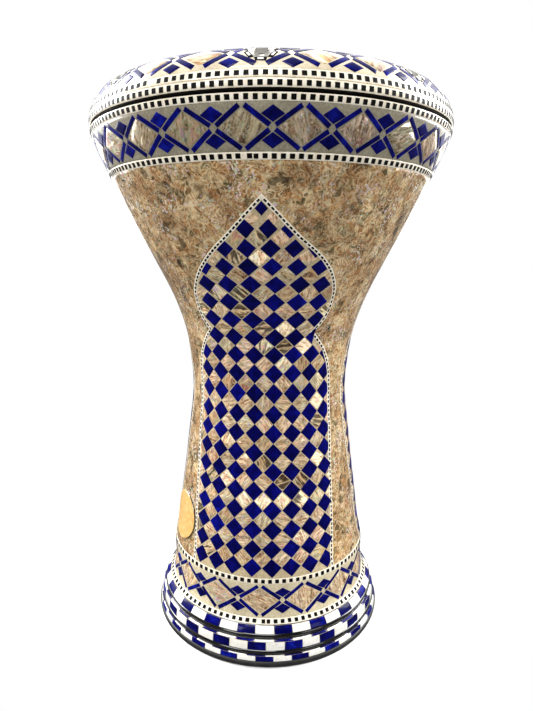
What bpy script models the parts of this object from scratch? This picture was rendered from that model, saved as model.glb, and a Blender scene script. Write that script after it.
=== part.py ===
# Goblet drum (darbuka) with a cast aluminium shell, a bolted tuning ring on top
# and an inlaid skin of blue resin tiles and shell.
#
# Frame: metres, +Z up, origin at the centre of the base on the floor.
# The middle of the front arch panel faces -Y.  Angles are in degrees from -Y
# towards +X.  Dimensions are in millimetres and scaled by MM when built.
#
# The visible skin is a layer over the casting.  Each part of that layer is cut
# from the same turned outline, so neighbours follow one surface and stay
# a constant gap apart.

import math
from collections import namedtuple

import bmesh
import bpy
from mathutils import Matrix, Vector

MM = 0.001
SEG = 32                 # facets round the drum, a multiple of the bolt count
SMALL_SEG = 12           # facets round bolts, washers and inserts
SHARP_ANGLE = 32.0       # edges steeper than this stay sharp
GAP = 0.3                # clearance between neighbouring solids
HALF_GAP = GAP / 2

# ------------------------------------------------------------ body dimensions
SKIN_T = 2.7             # thickness of the inlaid skin on the body
WALL_T = 4.0             # aluminium wall of the goblet
WALL_IN_Z = (38.0, 384.0)   # outline heights the inner wall follows between
WALL_IN_N = 7            # pieces of the inner wall

# outline of the finished body: (height, radius)
BODY = [
    (30.1, 91.0), (33.6, 88.0), (40.0, 86.4), (50.0, 85.7), (64.5, 85.6),
    (84.0, 81.6), (112.0, 77.8), (140.0, 73.9), (168.0, 70.4),
    (196.0, 66.9), (210.0, 66.5), (224.0, 67.3), (252.0, 71.3),
    (280.0, 80.4), (308.0, 93.8), (336.0, 108.2), (364.0, 122.3),
    (378.0, 128.9), (392.0, 135.2), (403.2, 139.5), (405.9, 140.0),
]
BODY_TOP = BODY[-1][0]

FLANGE_TOP = 405.4       # casting flange under the tuning ring
RIM_R_OUT = 109.6        # upstanding rim that carries the head
RIM_R_IN = 104.2
RIM_TOP = 430.0

STRIP_W = 4.8            # width of a dotted strip, measured along the surface
SHOULDER_STRIP_Z = 374.1    # middles of the strips above and below the long field
ANKLE_STRIP_Z = 64.5
FOOT_STRIP_START = 0.1   # distance of the lowest strip from the outline's end
FIELD_N = 10             # pieces of the long field along the outline
BAND_N = 2               # pieces of a mosaic band along the outline

# ------------------------------------------------------ tuning ring dimensions
# outline of the finished ring, from its lower lip over the dome: (height, radius)
RING = [
    (407.6, 139.4), (409.6, 140.3), (413.2, 140.1), (417.2, 139.1),
    (423.2, 136.4), (428.6, 132.0), (432.6, 125.5), (434.1, 121.0),
    (434.6, 117.5), (434.2, 114.6), (432.9, 112.6),
]
RING_SKIN_T = 2.5
RING_UNDERSIDE = 407.7
# strip name, lower and upper height on the outline
RING_STRIPS = [
    ("ring_dot_strip_lower", 408.1, 413.05),
    ("ring_dot_strip_upper", 413.35, 418.2),
]
RING_MOSAIC_Z = RING_STRIPS[-1][2] + GAP     # lower edge of the mosaic
RING_N = 6               # pieces of the mosaic along the outline

# ------------------------------------------------------------ bolt dimensions
BOLTS = 8
BOLT_PCR = 128.8         # radius of the bolt circle
BOLT_PHASE = 1.5         # angle of the first bolt
BOLT_ANGLES = [BOLT_PHASE + 360.0 / BOLTS * k for k in range(BOLTS)]
BOLT_R = 2.5             # M5 shank
BOLT_TIP = 397.5
BORE_R = BOLT_R + 0.4
WASHER_R = 4.7
WASHER_T = 1.0
POCKET_R = WASHER_R + GAP    # counterbore for the head and washer
POCKET_FLOOR = 419.5
WASHER_Z = POCKET_FLOOR + GAP
HEAD_R = 4.25
HEAD_SEAT = WASHER_Z + WASHER_T + GAP
HEAD_TOP = HEAD_SEAT + 5.0
SOCKET_AF = 4.0          # hexagon socket across flats
SOCKET_DEPTH = 3.0
INSERT_R = 3.7
INSERT_TOP = 405.2
INSERT_FLOOR = 395.9     # floor of the pocket in the casting
ABOVE_FLANGE = 410.0     # cutter ends, clear of the metal they pass through
BELOW_RING = 400.0
ABOVE_RING = 440.0
BEZEL_AF = 18.8          # hexagonal frame round each bolt, across its outer flats
BEZEL_OPENING = 13.2     # across the flats of its opening
BEZEL_R = 129.9          # middle of the frame, on the dome
BEZEL_Z = 428.9
BEZEL_TILT = 37.0
BEZEL_CUT_HALF = 5.5     # half the depth of the bezel cutters

# ------------------------------------------------ arch panel and badge dimensions
ARCH_SIDES = ("front", "right", "left")
ARCH_PITCH = 2 * math.pi / len(ARCH_SIDES)
# arch outline, bottom to tip: (height, half angle)
ARCH = [
    (40.0, 42.6), (72.0, 43.2), (134.0, 48.2), (180.0, 51.0), (213.0, 51.6),
    (235.5, 47.6), (248.0, 42.0), (260.0, 33.4), (269.0, 37.3),
    (278.0, 39.2), (287.5, 38.4), (296.5, 35.5), (312.5, 26.6),
    (329.0, 14.2), (346.0, 3.4),
]
ARCH_FOOT = ARCH[0][0]
ARCH_TIP = 352.0
BORDER_W = 2.7
MITRE_LIMIT = 0.55       # least cosine used at a corner, to keep mitres short
ARCH_CUT_Y = -92.0       # middle of the arch cutter, in front of the axis
ARCH_CUT_HALF = 60.0     # its half depth

BADGE_R = 20.5           # plain plate over the skin between two panels
BADGE_T = 1.2
BADGE_Z = 95.0
BADGE_ANGLE = -60.5
BADGE_SEG = 32
BADGE_SPAN = 8           # distance each way over which its lean is taken
BADGE_CUT_HALF = 25      # half the depth of the round cutter

# ------------------------------------------------------------------- scene
for old in list(bpy.data.objects):
    bpy.data.objects.remove(old, do_unlink=True)


def collection(name):
    col = bpy.data.collections.get(name)
    if col is None:
        col = bpy.data.collections.new(name)
        bpy.context.scene.collection.children.link(col)
    return col


DRUM = collection("darbuka")
TOOLS = collection("cutters")

# --------------------------------------------------------------- materials
Look = namedtuple("Look", "colour roughness metallic")

ALUMINIUM = Look(colour=(0.62, 0.62, 0.63), roughness=0.38, metallic=1.0)
STEEL = Look(colour=(0.55, 0.56, 0.58), roughness=0.25, metallic=1.0)
BRASS = Look(colour=(0.70, 0.55, 0.28), roughness=0.35, metallic=1.0)
GOLD = Look(colour=(0.85, 0.62, 0.22), roughness=0.30, metallic=1.0)
IVORY = Look(colour=(0.90, 0.86, 0.76), roughness=0.25, metallic=0.0)
PEARL = Look(colour=(0.56, 0.50, 0.38), roughness=0.20, metallic=0.0)
BLUE_TILE = Look(colour=(0.10, 0.11, 0.42), roughness=0.15, metallic=0.0)
MOSAIC = Look(colour=(0.42, 0.40, 0.46), roughness=0.20, metallic=0.0)
BLACK = Look(colour=(0.02, 0.02, 0.02), roughness=0.35, metallic=0.0)
RUBBER = Look(colour=(0.02, 0.02, 0.02), roughness=0.70, metallic=0.0)
FILM = Look(colour=(0.90, 0.90, 0.87), roughness=0.40, metallic=0.0)


def material(name, look):
    mat = bpy.data.materials.new(name)
    mat.use_nodes = True
    inputs = mat.node_tree.nodes["Principled BSDF"].inputs
    inputs["Base Color"].default_value = (*look.colour, 1.0)
    inputs["Roughness"].default_value = look.roughness
    inputs["Metallic"].default_value = look.metallic
    mat.diffuse_color = (*look.colour, 1.0)
    return mat


# ------------------------------------------------------------ outline maths
def spaced(start, end, n):
    """n + 1 evenly spaced values from start to end."""
    return [start + (end - start) * i / n for i in range(n + 1)]


def smooth_line(points, per):
    """Catmull-Rom curve through the points, with per pieces between each two."""
    out = []
    last = len(points) - 1
    for i in range(last):
        four = (points[max(i - 1, 0)], points[i], points[i + 1], points[min(i + 2, last)])
        for k in range(per):
            t = k / per
            out.append(tuple(
                0.5 * (2 * b + (c - a) * t + (2 * a - 5 * b + 4 * c - d) * t * t
                       + (3 * b - a - 3 * c + d) * t ** 3)
                for a, b, c, d in zip(*four)))
    out.append(points[-1])
    return out


class Outline:
    """A turned outline held as (radius, height) points by distance along it."""

    def __init__(self, stations, per=6):
        self.points = [(r, z) for z, r in smooth_line(stations, per)]
        self.along = [0.0]
        for a, b in zip(self.points, self.points[1:]):
            self.along.append(self.along[-1] + math.dist(a, b))
        self.length = self.along[-1]

    def at(self, s, inset=0.0):
        """Point at distance s, moved inwards by inset."""
        points, along = self.points, self.along
        s = min(max(s, 0.0), self.length)
        k = 0
        while k < len(along) - 2 and along[k + 1] < s:
            k += 1
        a, b = points[k], points[k + 1]
        t = (s - along[k]) / (along[k + 1] - along[k])
        # tangent from a wider span, so offsets stay smooth
        before, after = points[max(k - 1, 0)], points[min(k + 2, len(points) - 1)]
        dr, dz = after[0] - before[0], after[1] - before[1]
        span = math.hypot(dr, dz)
        normal_r, normal_z = dz / span, -dr / span   # outward when the line runs upwards
        return (a[0] + (b[0] - a[0]) * t - normal_r * inset,
                a[1] + (b[1] - a[1]) * t - normal_z * inset)

    def find(self, z):
        """Distance along the line where it first reaches height z."""
        for k, (a, b) in enumerate(zip(self.points, self.points[1:])):
            if a[1] <= z <= b[1]:
                part = (z - a[1]) / (b[1] - a[1])
                return self.along[k] + part * (self.along[k + 1] - self.along[k])
        return self.length

    def line(self, start, end, n, inset):
        """Points along the outline between two distances, moved inwards."""
        return [self.at(s, inset) for s in spaced(start, end, n)]

    def band(self, low, high, n, thickness, floor=-math.inf, ceiling=math.inf):
        """Closed section of a layer between two distances, outer side first."""
        outer = self.line(high, low, n, 0.0)
        inner = self.line(high, low, n, thickness)
        return [(r, min(max(z, floor), ceiling)) for r, z in outer + inner[::-1]]


body = Outline(BODY)
ring = Outline(RING)


def radius_at(z):
    return body.at(body.find(z))[0]


def polar(r, deg):
    a = math.radians(deg)
    return r * math.sin(a), -r * math.cos(a)


def hexagon_radius(across_flats):
    return across_flats / 2 / math.cos(math.pi / 6)


# ------------------------------------------------------------ solid builders
def turned(name, section, steps=SEG, closed=True):
    """Turn a (radius, height) section about Z with a Screw modifier."""
    n = len(section)
    mesh = bpy.data.meshes.new(name)
    mesh.from_pydata([(r * MM, 0.0, z * MM) for r, z in section],
                     [(i, (i + 1) % n) for i in range(n if closed else n - 1)], [])
    ob = bpy.data.objects.new(name, mesh)
    DRUM.objects.link(ob)
    mod = ob.modifiers.new("turn", "SCREW")
    mod.axis = "Z"
    mod.angle = 2 * math.pi
    mod.steps = steps
    mod.render_steps = steps
    mod.use_merge_vertices = True
    mod.merge_threshold = 1e-6
    return ob


def evaluated_mesh(ob):
    dep = bpy.context.evaluated_depsgraph_get()
    dep.update()
    return bpy.data.meshes.new_from_object(ob.evaluated_get(dep))


def finish(ob, look):
    """Replace a piece by the mesh its modifiers give, shaded and coloured."""
    name = ob.name
    mesh = evaluated_mesh(ob)
    bpy.data.objects.remove(ob, do_unlink=True)
    mesh.name = name
    mesh.materials.clear()
    mesh.materials.append(material(name, look))
    for poly in mesh.polygons:
        poly.use_smooth = True
    mesh.set_sharp_from_angle(angle=math.radians(SHARP_ANGLE))
    done = bpy.data.objects.new(name, mesh)
    DRUM.objects.link(done)
    return done


def as_cutter(ob):
    for col in list(ob.users_collection):
        col.objects.unlink(ob)
    TOOLS.objects.link(ob)
    ob.hide_render = True
    ob.display_type = "WIRE"
    return ob


def cut(ob, tool, operation="DIFFERENCE"):
    mod = ob.modifiers.new(operation.lower(), "BOOLEAN")
    mod.operation = operation
    mod.solver = "EXACT"
    mod.object = tool


def post_cutter(name, r, z0, z1, sides, x=0.0, y=0.0, turn=0.0):
    """Upright prism or cylinder; r is the corner radius."""
    bpy.ops.mesh.primitive_cylinder_add(
        vertices=sides, radius=r * MM, depth=(z1 - z0) * MM,
        end_fill_type="NGON", location=(x * MM, y * MM, (z0 + z1) / 2 * MM),
        rotation=(0, 0, turn))
    ob = bpy.context.object
    ob.name = name
    return as_cutter(ob)


def joined(parts):
    """Join objects into the first of them."""
    for ob in bpy.context.selected_objects:
        ob.select_set(False)
    for ob in parts:
        ob.select_set(True)
    bpy.context.view_layer.objects.active = parts[0]
    bpy.ops.object.join()
    return bpy.context.object


def leaning(r, z, deg, tilt):
    """Placement at a radius, height and angle, tilted (radians) off upright."""
    x, y = polar(r, deg)
    return (Matrix.Translation((x * MM, y * MM, z * MM))
            @ Matrix.Rotation(math.radians(deg), 4, "Z")
            @ Matrix.Rotation(tilt, 4, "X"))


def bolt_circle_cutter(name, r, z0, z1):
    """Upright cylinders at all the bolts in one object."""
    return joined([post_cutter(name, r, z0, z1, SMALL_SEG, *polar(BOLT_PCR, a), math.radians(a))
                   for a in BOLT_ANGLES])


def linked_copy(first, number):
    """Object sharing the mesh of a piece whose name ends in 1."""
    ob = bpy.data.objects.new(first.name.removesuffix("1") + str(number), first.data)
    DRUM.objects.link(ob)
    return ob


def place_at_bolts(first):
    """Move a piece to the first bolt and put linked copies at the others."""
    for k, a in enumerate(BOLT_ANGLES, 1):
        ob = first if k == 1 else linked_copy(first, k)
        x, y = polar(BOLT_PCR, a)
        ob.location = (x * MM, y * MM, 0.0)
        ob.rotation_euler.z = math.radians(a)


# ------------------------------------- division of the skin along the body outline
rim_strip_low = body.length - STRIP_W
shoulder_mid = body.find(SHOULDER_STRIP_Z)
ankle_mid = body.find(ANKLE_STRIP_Z)
foot_strip_high = FOOT_STRIP_START + STRIP_W
field_low = ankle_mid + STRIP_W / 2 + HALF_GAP
field_high = shoulder_mid - STRIP_W / 2 - HALF_GAP
upper_low = shoulder_mid + STRIP_W / 2 + HALF_GAP
upper_high = rim_strip_low - HALF_GAP
lower_low = foot_strip_high + GAP
lower_high = ankle_mid - STRIP_W / 2 - HALF_GAP

# ---------------------------------------------------------------- casting
casting_inset = SKIN_T + GAP
casting = turned(
    "shell_casting",
    # upstanding rim and flange
    [(107.0, RIM_TOP), (108.6, 429.3), (RIM_R_OUT, 427.0), (RIM_R_OUT, FLANGE_TOP),
     (136.6, FLANGE_TOP)]
    # outside, turned at the same stations as the skin so the gap stays even
    + body.line(upper_high, upper_low, BAND_N, casting_inset)
    + body.line(field_high, field_low, FIELD_N, casting_inset)
    + body.line(lower_high, lower_low, BAND_N, casting_inset)
    # stepped foot, down the outside and up the inside
    + [(88.3, 27.9), (91.9, 23.2), (92.5, 21.2), (92.5, 18.2), (94.7, 17.6),
       (95.1, 12.9), (95.1, 9.6), (96.7, 9.3), (97.0, 5.2), (90.0, 5.2),
       (88.6, 18.0), (84.8, 27.0)]
    # inner wall, then the inside of the rim
    + body.line(*map(body.find, WALL_IN_Z), WALL_IN_N, casting_inset + WALL_T)
    + [(118.0, 389.0), (107.5, 391.0), (RIM_R_IN, 394.5), (RIM_R_IN, 425.5),
       (105.2, 429.0)])
cut(casting, bolt_circle_cutter("insert_pockets", INSERT_R + GAP, INSERT_FLOOR, ABOVE_FLANGE))
finish(casting, ALUMINIUM)

insert = turned("thread_insert_1",
                [(INSERT_R, INSERT_TOP), (INSERT_R, INSERT_FLOOR + GAP),
                 (BOLT_R + GAP, INSERT_FLOOR + GAP), (BOLT_R + GAP, INSERT_TOP)],
                steps=SMALL_SEG)
place_at_bolts(finish(insert, BRASS))

# ----------------------------------------- strips and bands of the body skin
# name, low and high distance along the outline, pieces, look
BODY_BANDS = [
    ("dot_strip_rim", rim_strip_low + HALF_GAP, body.length, 1, IVORY),
    ("dot_strip_shoulder", shoulder_mid - STRIP_W / 2 + HALF_GAP,
     shoulder_mid + STRIP_W / 2 - HALF_GAP, 1, IVORY),
    ("dot_strip_ankle", ankle_mid - STRIP_W / 2 + HALF_GAP,
     ankle_mid + STRIP_W / 2 - HALF_GAP, 1, IVORY),
    ("dot_strip_foot", FOOT_STRIP_START, foot_strip_high, 2, IVORY),
    ("upper_mosaic_band", upper_low, upper_high, BAND_N, MOSAIC),
    ("lower_mosaic_band", lower_low, lower_high, BAND_N, MOSAIC),
]
for name, low, high, n, look in BODY_BANDS:
    finish(turned(name, body.band(low, high, n, SKIN_T, ceiling=BODY_TOP)), look)


# ------------------------------------------------------------ arch panels
def field_layer(name):
    """Skin of the long field between the shoulder and ankle strips."""
    return turned(name, body.band(field_low, field_high, FIELD_N, SKIN_T))


def arch_outline(inset):
    """Closed arch outline as (x, z), moved inwards by inset, with mitred corners."""
    right = [(radius_at(z) * math.sin(math.radians(a)), z) for z, a in ARCH]
    line = right + [(0.0, ARCH_TIP)] + [(-x, z) for x, z in reversed(right)]
    # a point straight below each end makes the sides meet the foot upright
    below = [(x, z - 10.0) for x, z in (line[0], line[-1])]
    padded = [below[0]] + line + [below[1]]
    out = []
    for a, b, c in zip(padded, padded[1:], padded[2:]):
        d1 = Vector((b[0] - a[0], b[1] - a[1])).normalized()
        d2 = Vector((c[0] - b[0], c[1] - b[1])).normalized()
        normal = Vector((-d1.y, d1.x))
        mitre = (normal + Vector((-d2.y, d2.x))).normalized()
        k = inset / max(mitre.dot(normal), MITRE_LIMIT)
        out.append((b[0] + mitre.x * k, b[1] + mitre.y * k))
    out[0] = (out[0][0], ARCH_FOOT)
    out[-1] = (out[-1][0], ARCH_FOOT)
    return out


def arch_cutter(name, inset, turn):
    """Arch outline pushed through the skin, turned about Z by turn (radians)."""
    curve = bpy.data.curves.new(name, "CURVE")
    curve.dimensions = "2D"
    curve.fill_mode = "BOTH"
    curve.extrude = ARCH_CUT_HALF * MM
    spline = curve.splines.new("POLY")
    points = arch_outline(inset)
    spline.points.add(len(points) - 1)
    for p, (x, z) in zip(spline.points, points):
        p.co = (x * MM, z * MM, 0.0, 1.0)
    spline.use_cyclic_u = True
    flat = bpy.data.objects.new(name, curve)
    TOOLS.objects.link(flat)
    # curve XY to world XZ, set in front of the axis, then turned about Z
    flat.matrix_world = (Matrix.Rotation(turn, 4, "Z")
                         @ Matrix.Translation((0, ARCH_CUT_Y * MM, 0))
                         @ Matrix.Rotation(math.pi / 2, 4, "X"))
    bpy.context.view_layer.update()
    mesh = evaluated_mesh(flat)
    # weld the caps to the sides to make the prism closed
    bm = bmesh.new()
    bm.from_mesh(mesh)
    bmesh.ops.remove_doubles(bm, verts=bm.verts, dist=1e-6)
    bmesh.ops.recalc_face_normals(bm, faces=bm.faces)
    bm.to_mesh(mesh)
    bm.free()
    # made while the curve still holds the name, so it gets the suffix .001
    prism = bpy.data.objects.new(name, mesh)
    as_cutter(prism)
    prism.matrix_world = flat.matrix_world.copy()
    bpy.data.objects.remove(flat, do_unlink=True)
    return prism


for k, side in enumerate(ARCH_SIDES):
    turn = k * ARCH_PITCH
    border_outside = arch_cutter("border_outside_" + side, HALF_GAP, turn)
    border_inside = arch_cutter("border_inside_" + side, HALF_GAP + BORDER_W, turn)
    panel_outside = arch_cutter("panel_outside_" + side, HALF_GAP + BORDER_W + GAP, turn)
    panel = field_layer("arch_panel_" + side)
    cut(panel, panel_outside, "INTERSECT")
    finish(panel, BLUE_TILE)
    border = field_layer("arch_border_" + side)
    cut(border, border_outside, "INTERSECT")
    cut(border, border_inside)
    finish(border, IVORY)

field = field_layer("pearl_field")
for k in range(len(ARCH_SIDES)):
    cut(field, arch_cutter("arch_opening_%d" % (k + 1), -HALF_GAP, k * ARCH_PITCH))
finish(field, PEARL)

# ------------------------------------ badge, a thin round plate curved to the skin
badge_mid = body.find(BADGE_Z)
below_r, below_z = body.at(badge_mid - BADGE_SPAN)
above_r, above_z = body.at(badge_mid + BADGE_SPAN)
badge_lean = math.atan2(below_r - above_r, above_z - below_z)
badge_cutter = post_cutter("badge_outline", BADGE_R, -BADGE_CUT_HALF, BADGE_CUT_HALF, BADGE_SEG)
badge_cutter.matrix_world = leaning(radius_at(BADGE_Z), BADGE_Z, BADGE_ANGLE,
                                    math.pi / 2 - badge_lean)
# the lowest three stations of the field, so its facets match the skin's
badge_stations = spaced(field_high, field_low, FIELD_N)[-3:]
badge = turned("badge_plate", [body.at(s, -GAP - BADGE_T) for s in badge_stations]
               + [body.at(s, -GAP) for s in reversed(badge_stations)])
cut(badge, badge_cutter, "INTERSECT")
finish(badge, GOLD)

# -------------------------------------------------------------------- foot
# name, section as (radius, height), look; top to floor
FOOT = [
    ("foot_tile_ring_1",
     [(91.3, 29.6), (93.3, 27.4), (95.0, 25.0), (93.1, 23.6), (89.4, 28.1)], BLUE_TILE),
    ("foot_bead_1", [(95.2, 24.5), (95.9, 23.0), (95.6, 21.3), (93.0, 21.3)], BLACK),
    ("foot_tile_ring_2",
     [(95.9, 20.9), (97.5, 20.2), (98.0, 16.5), (98.3, 13.1),
      (95.6, 13.1), (95.2, 18.0), (93.0, 18.7), (93.0, 20.9)], BLUE_TILE),
    ("foot_bead_2", [(98.6, 12.8), (98.8, 9.7), (95.6, 9.7), (95.6, 12.8)], BLACK),
    ("foot_tile_ring_3", [(99.4, 9.4), (100.5, 5.2), (97.4, 5.2), (97.2, 9.4)], BLUE_TILE),
    ("base_rubber_rim",
     [(100.9, 4.9), (101.5, 3.6), (101.5, 1.2), (100.4, 0.0),
      (90.0, 0.0), (89.4, 0.6), (89.4, 4.9)], RUBBER),
]
for name, section, look in FOOT:
    finish(turned(name, section), look)

# -------------------------------------------------------------------- head
# film over the rim, as (radius, height): out along the top, back underneath
FILM_SECTION = [
    (0.0, 430.9), (107.2, 430.9), (109.5, 429.9), (110.5, 427.3), (110.5, 412.0),
    (109.95, 412.0), (109.95, 427.2), (109.0, 429.5), (107.0, 430.3), (0.0, 430.3),
]
finish(turned("head_film", FILM_SECTION, closed=False), FILM)

HOOP_SECTION = [
    (114.6, 415.7), (115.6, 414.7), (115.6, 410.9), (114.6, 409.9),
    (110.9, 409.9), (110.9, 415.7),
]
finish(turned("flesh_hoop", HOOP_SECTION), ALUMINIUM)

# ------------------------------------------------------------- tuning ring
mosaic_low = ring.find(RING_MOSAIC_Z)
ring_casting = turned(
    "tuning_ring_casting",
    ring.line(ring.length, mosaic_low, RING_N, RING_SKIN_T + GAP)
    + [(137.3, 409.6), (137.0, RING_UNDERSIDE), (116.0, RING_UNDERSIDE), (116.0, 416.1),
       (111.4, 416.1), (111.4, 429.4), (112.2, 430.1)])
cut(ring_casting, bolt_circle_cutter("bolt_bores", BORE_R, BELOW_RING, ABOVE_RING))
cut(ring_casting, bolt_circle_cutter("head_pockets", POCKET_R, POCKET_FLOOR, ABOVE_RING))
finish(ring_casting, ALUMINIUM)

for name, low_z, high_z in RING_STRIPS:
    section = ring.band(ring.find(low_z), ring.find(high_z), 1, RING_SKIN_T,
                        floor=RING_UNDERSIDE)
    finish(turned(name, section), IVORY)


# the mosaic is the layer minus hexagonal seats; the bezels are the layer inside them
def ring_layer(name):
    return turned(name, ring.band(mosaic_low, ring.length, RING_N, RING_SKIN_T))


def bezel_cutter(name, across_flats, deg):
    """Hexagonal prism through the skin at a bolt, leaning with the dome."""
    ob = post_cutter(name, hexagon_radius(across_flats), -BEZEL_CUT_HALF, BEZEL_CUT_HALF, 6)
    ob.matrix_world = (leaning(BEZEL_R, BEZEL_Z, deg, math.radians(BEZEL_TILT))
                       @ Matrix.Rotation(math.radians(90), 4, "Z"))
    return ob


mosaic = ring_layer("ring_mosaic")
cut(mosaic, joined([bezel_cutter("bezel_seats", BEZEL_AF + 2 * GAP, a) for a in BOLT_ANGLES]))
finish(mosaic, MOSAIC)

bezel = ring_layer("bolt_bezel_1")
cut(bezel, bezel_cutter("bezel_outline", BEZEL_AF, BOLT_PHASE), "INTERSECT")
cut(bezel, bezel_cutter("bezel_hole", BEZEL_OPENING, BOLT_PHASE))
bezel = finish(bezel, BLACK)
for k in range(1, BOLTS):
    linked_copy(bezel, k + 1).rotation_euler.z = 2 * math.pi * k / BOLTS

# ------------------------------------------------------- bolts and washers
bolt = turned("tuning_bolt_1",
              [(0.0, HEAD_TOP), (HEAD_R, HEAD_TOP), (HEAD_R, HEAD_SEAT),
               (BOLT_R, HEAD_SEAT), (BOLT_R, BOLT_TIP), (0.0, BOLT_TIP)],
              steps=SMALL_SEG, closed=False)
cut(bolt, post_cutter("hex_socket", hexagon_radius(SOCKET_AF),
                      HEAD_TOP - SOCKET_DEPTH, HEAD_TOP + 2.0, 6))
place_at_bolts(finish(bolt, STEEL))

washer = turned("washer_1",
                [(WASHER_R, WASHER_Z + WASHER_T), (WASHER_R, WASHER_Z),
                 (BOLT_R + GAP, WASHER_Z), (BOLT_R + GAP, WASHER_Z + WASHER_T)],
                steps=SMALL_SEG)
place_at_bolts(finish(washer, STEEL))
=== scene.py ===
# A goblet drum with an inlaid shell: mosaic bands, three arched panels, a tiled foot and a
# tuning ring with eight bolts. It stands on z = 0 with its axis along +Z. Azimuth 0 faces -Y,
# the front, and grows towards +X, the right. Lengths are in millimetres until a mesh is made.
import math
import random

import bpy
import numpy as np
from mathutils import Matrix, Vector


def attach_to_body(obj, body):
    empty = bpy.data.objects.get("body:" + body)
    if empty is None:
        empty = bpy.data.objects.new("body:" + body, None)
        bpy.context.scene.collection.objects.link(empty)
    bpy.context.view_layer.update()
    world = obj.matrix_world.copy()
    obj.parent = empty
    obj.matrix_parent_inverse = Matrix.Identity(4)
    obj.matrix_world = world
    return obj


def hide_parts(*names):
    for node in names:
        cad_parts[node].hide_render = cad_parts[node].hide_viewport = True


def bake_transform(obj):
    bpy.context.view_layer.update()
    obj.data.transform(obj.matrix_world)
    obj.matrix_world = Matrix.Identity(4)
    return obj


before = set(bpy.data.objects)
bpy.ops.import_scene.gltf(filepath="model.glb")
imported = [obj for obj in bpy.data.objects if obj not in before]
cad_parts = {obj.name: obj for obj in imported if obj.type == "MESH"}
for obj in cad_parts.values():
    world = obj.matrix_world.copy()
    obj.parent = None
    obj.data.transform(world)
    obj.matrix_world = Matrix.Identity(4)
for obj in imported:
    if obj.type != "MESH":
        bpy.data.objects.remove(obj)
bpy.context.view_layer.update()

MM = 0.001
TAU = 2 * math.pi
rng = random.Random(7)

# ------------------------------------------------------------------ outlines
# Stations of the finished surfaces: (height, radius)
SHELL_LINE = [
    (30.1, 91.0), (33.6, 88.0), (40.0, 86.4), (50.0, 85.7), (64.5, 85.6), (84.0, 81.6),
    (112.0, 77.8), (140.0, 73.9), (168.0, 70.4), (196.0, 66.9), (210.0, 66.5), (224.0, 67.3),
    (252.0, 71.3), (280.0, 80.4), (308.0, 93.8), (336.0, 108.2), (364.0, 122.3),
    (378.0, 128.9), (392.0, 135.2), (403.2, 139.5), (405.9, 140.0)]
RING_LINE = [
    (407.6, 139.4), (409.6, 140.3), (413.2, 140.1), (417.2, 139.1), (423.2, 136.4),
    (428.6, 132.0), (432.6, 125.5), (434.1, 121.0), (434.6, 117.5), (434.2, 114.6),
    (432.9, 112.6)]
FOOT_LINE_1 = [(25.0, 95.0), (27.4, 93.4), (29.6, 91.3)]
FOOT_LINE_2 = [(13.1, 98.3), (16.5, 98.1), (19.6, 97.5)]
LEDGE_LINE_2 = [(19.9, 97.4), (20.6, 96.9), (20.9, 95.9)]
FOOT_LINE_3 = [(5.2, 100.6), (7.2, 100.3), (8.9, 99.8)]
LEDGE_LINE_3 = [(9.0, 99.75), (9.35, 99.3), (9.4, 98.9)]

# Bolts and their hexagonal frames
BOLTS = 8
BOLT_CIRCLE = 128.8         # radius on which the bolts stand
BOLT_PHASE = 1.5            # azimuth of the first bolt, degrees
BEZEL_S = 25.4              # distance along the ring's outline to the middle of a frame
BOLT_AZIMUTHS = [math.radians(BOLT_PHASE) + TAU * k / BOLTS for k in range(BOLTS)]
BOLT_CENTRES = [(BOLT_CIRCLE * math.sin(a), -BOLT_CIRCLE * math.cos(a)) for a in BOLT_AZIMUTHS]

STRIP_WIDTH = 4.8           # dotted strips on the shell
LAP = 0.1                   # how far a band's ground runs under the strips beside it
GROUND_TOP = -0.04          # grounds sit a hair under the finished outline

BADGE_RADIUS, BADGE_Z, BADGE_AZIMUTH = 20.5, 95.0, -60.5

CAMERA_TURN = math.radians(4.3)     # camera and light tent swing together round the drum


def smooth_line(points, steps=24):
    """Catmull-Rom curve through the points."""
    out = []
    last = len(points) - 1
    for i in range(last):
        p0, p1, p2 = points[max(i - 1, 0)], points[i], points[i + 1]
        p3 = points[min(i + 2, last)]
        for k in range(steps):
            t = k / steps
            out.append(tuple(
                0.5 * (2 * b + (c - a) * t + (2 * a - 5 * b + 4 * c - d) * t * t
                       + (3 * b - a - 3 * c + d) * t ** 3)
                for a, b, c, d in zip(p0, p1, p2, p3)))
    out.append(points[-1])
    return out


class Surface:
    """A surface of revolution, addressed by azimuth, distance s along its outline and
    height d above it. owner is the moving body its inlay rides on."""

    def __init__(self, stations, owner):
        path = np.array([(r, z) for z, r in smooth_line(stations)])
        steps = np.hypot(*np.diff(path, axis=0).T)
        self.s = np.concatenate([[0], np.cumsum(steps)])
        self.r, self.z = path[:, 0], path[:, 1]
        tangent = np.gradient(path, self.s, axis=0)
        for _ in range(6):
            tangent[1:-1] = 0.25 * tangent[:-2] + 0.5 * tangent[1:-1] + 0.25 * tangent[2:]
        tangent /= np.hypot(*tangent.T)[:, None]
        self.normal_r, self.normal_z = tangent[:, 1], -tangent[:, 0]
        self.length = self.s[-1]
        self.owner = owner

    def profile(self, s, d=0.0):
        """(radius, height) of a point."""
        return (np.interp(s, self.s, self.r) + np.interp(s, self.s, self.normal_r) * d,
                np.interp(s, self.s, self.z) + np.interp(s, self.s, self.normal_z) * d)

    def at(self, azimuth, s, d=0.0):
        """Points in metres."""
        r, z = self.profile(s, d)
        azimuth = np.asarray(azimuth, float)
        return np.stack([r * np.sin(azimuth), -r * np.cos(azimuth), z + 0 * azimuth], -1) * MM

    def radius(self, s):
        return float(np.interp(s, self.s, self.r))

    def height(self, s):
        return np.interp(s, self.s, self.z)

    def find(self, z):
        """Distance where the outline first reaches height z on its rising part."""
        top = int(np.argmax(self.z)) + 1
        return float(np.interp(z, self.z[:top], self.s[:top]))


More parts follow.
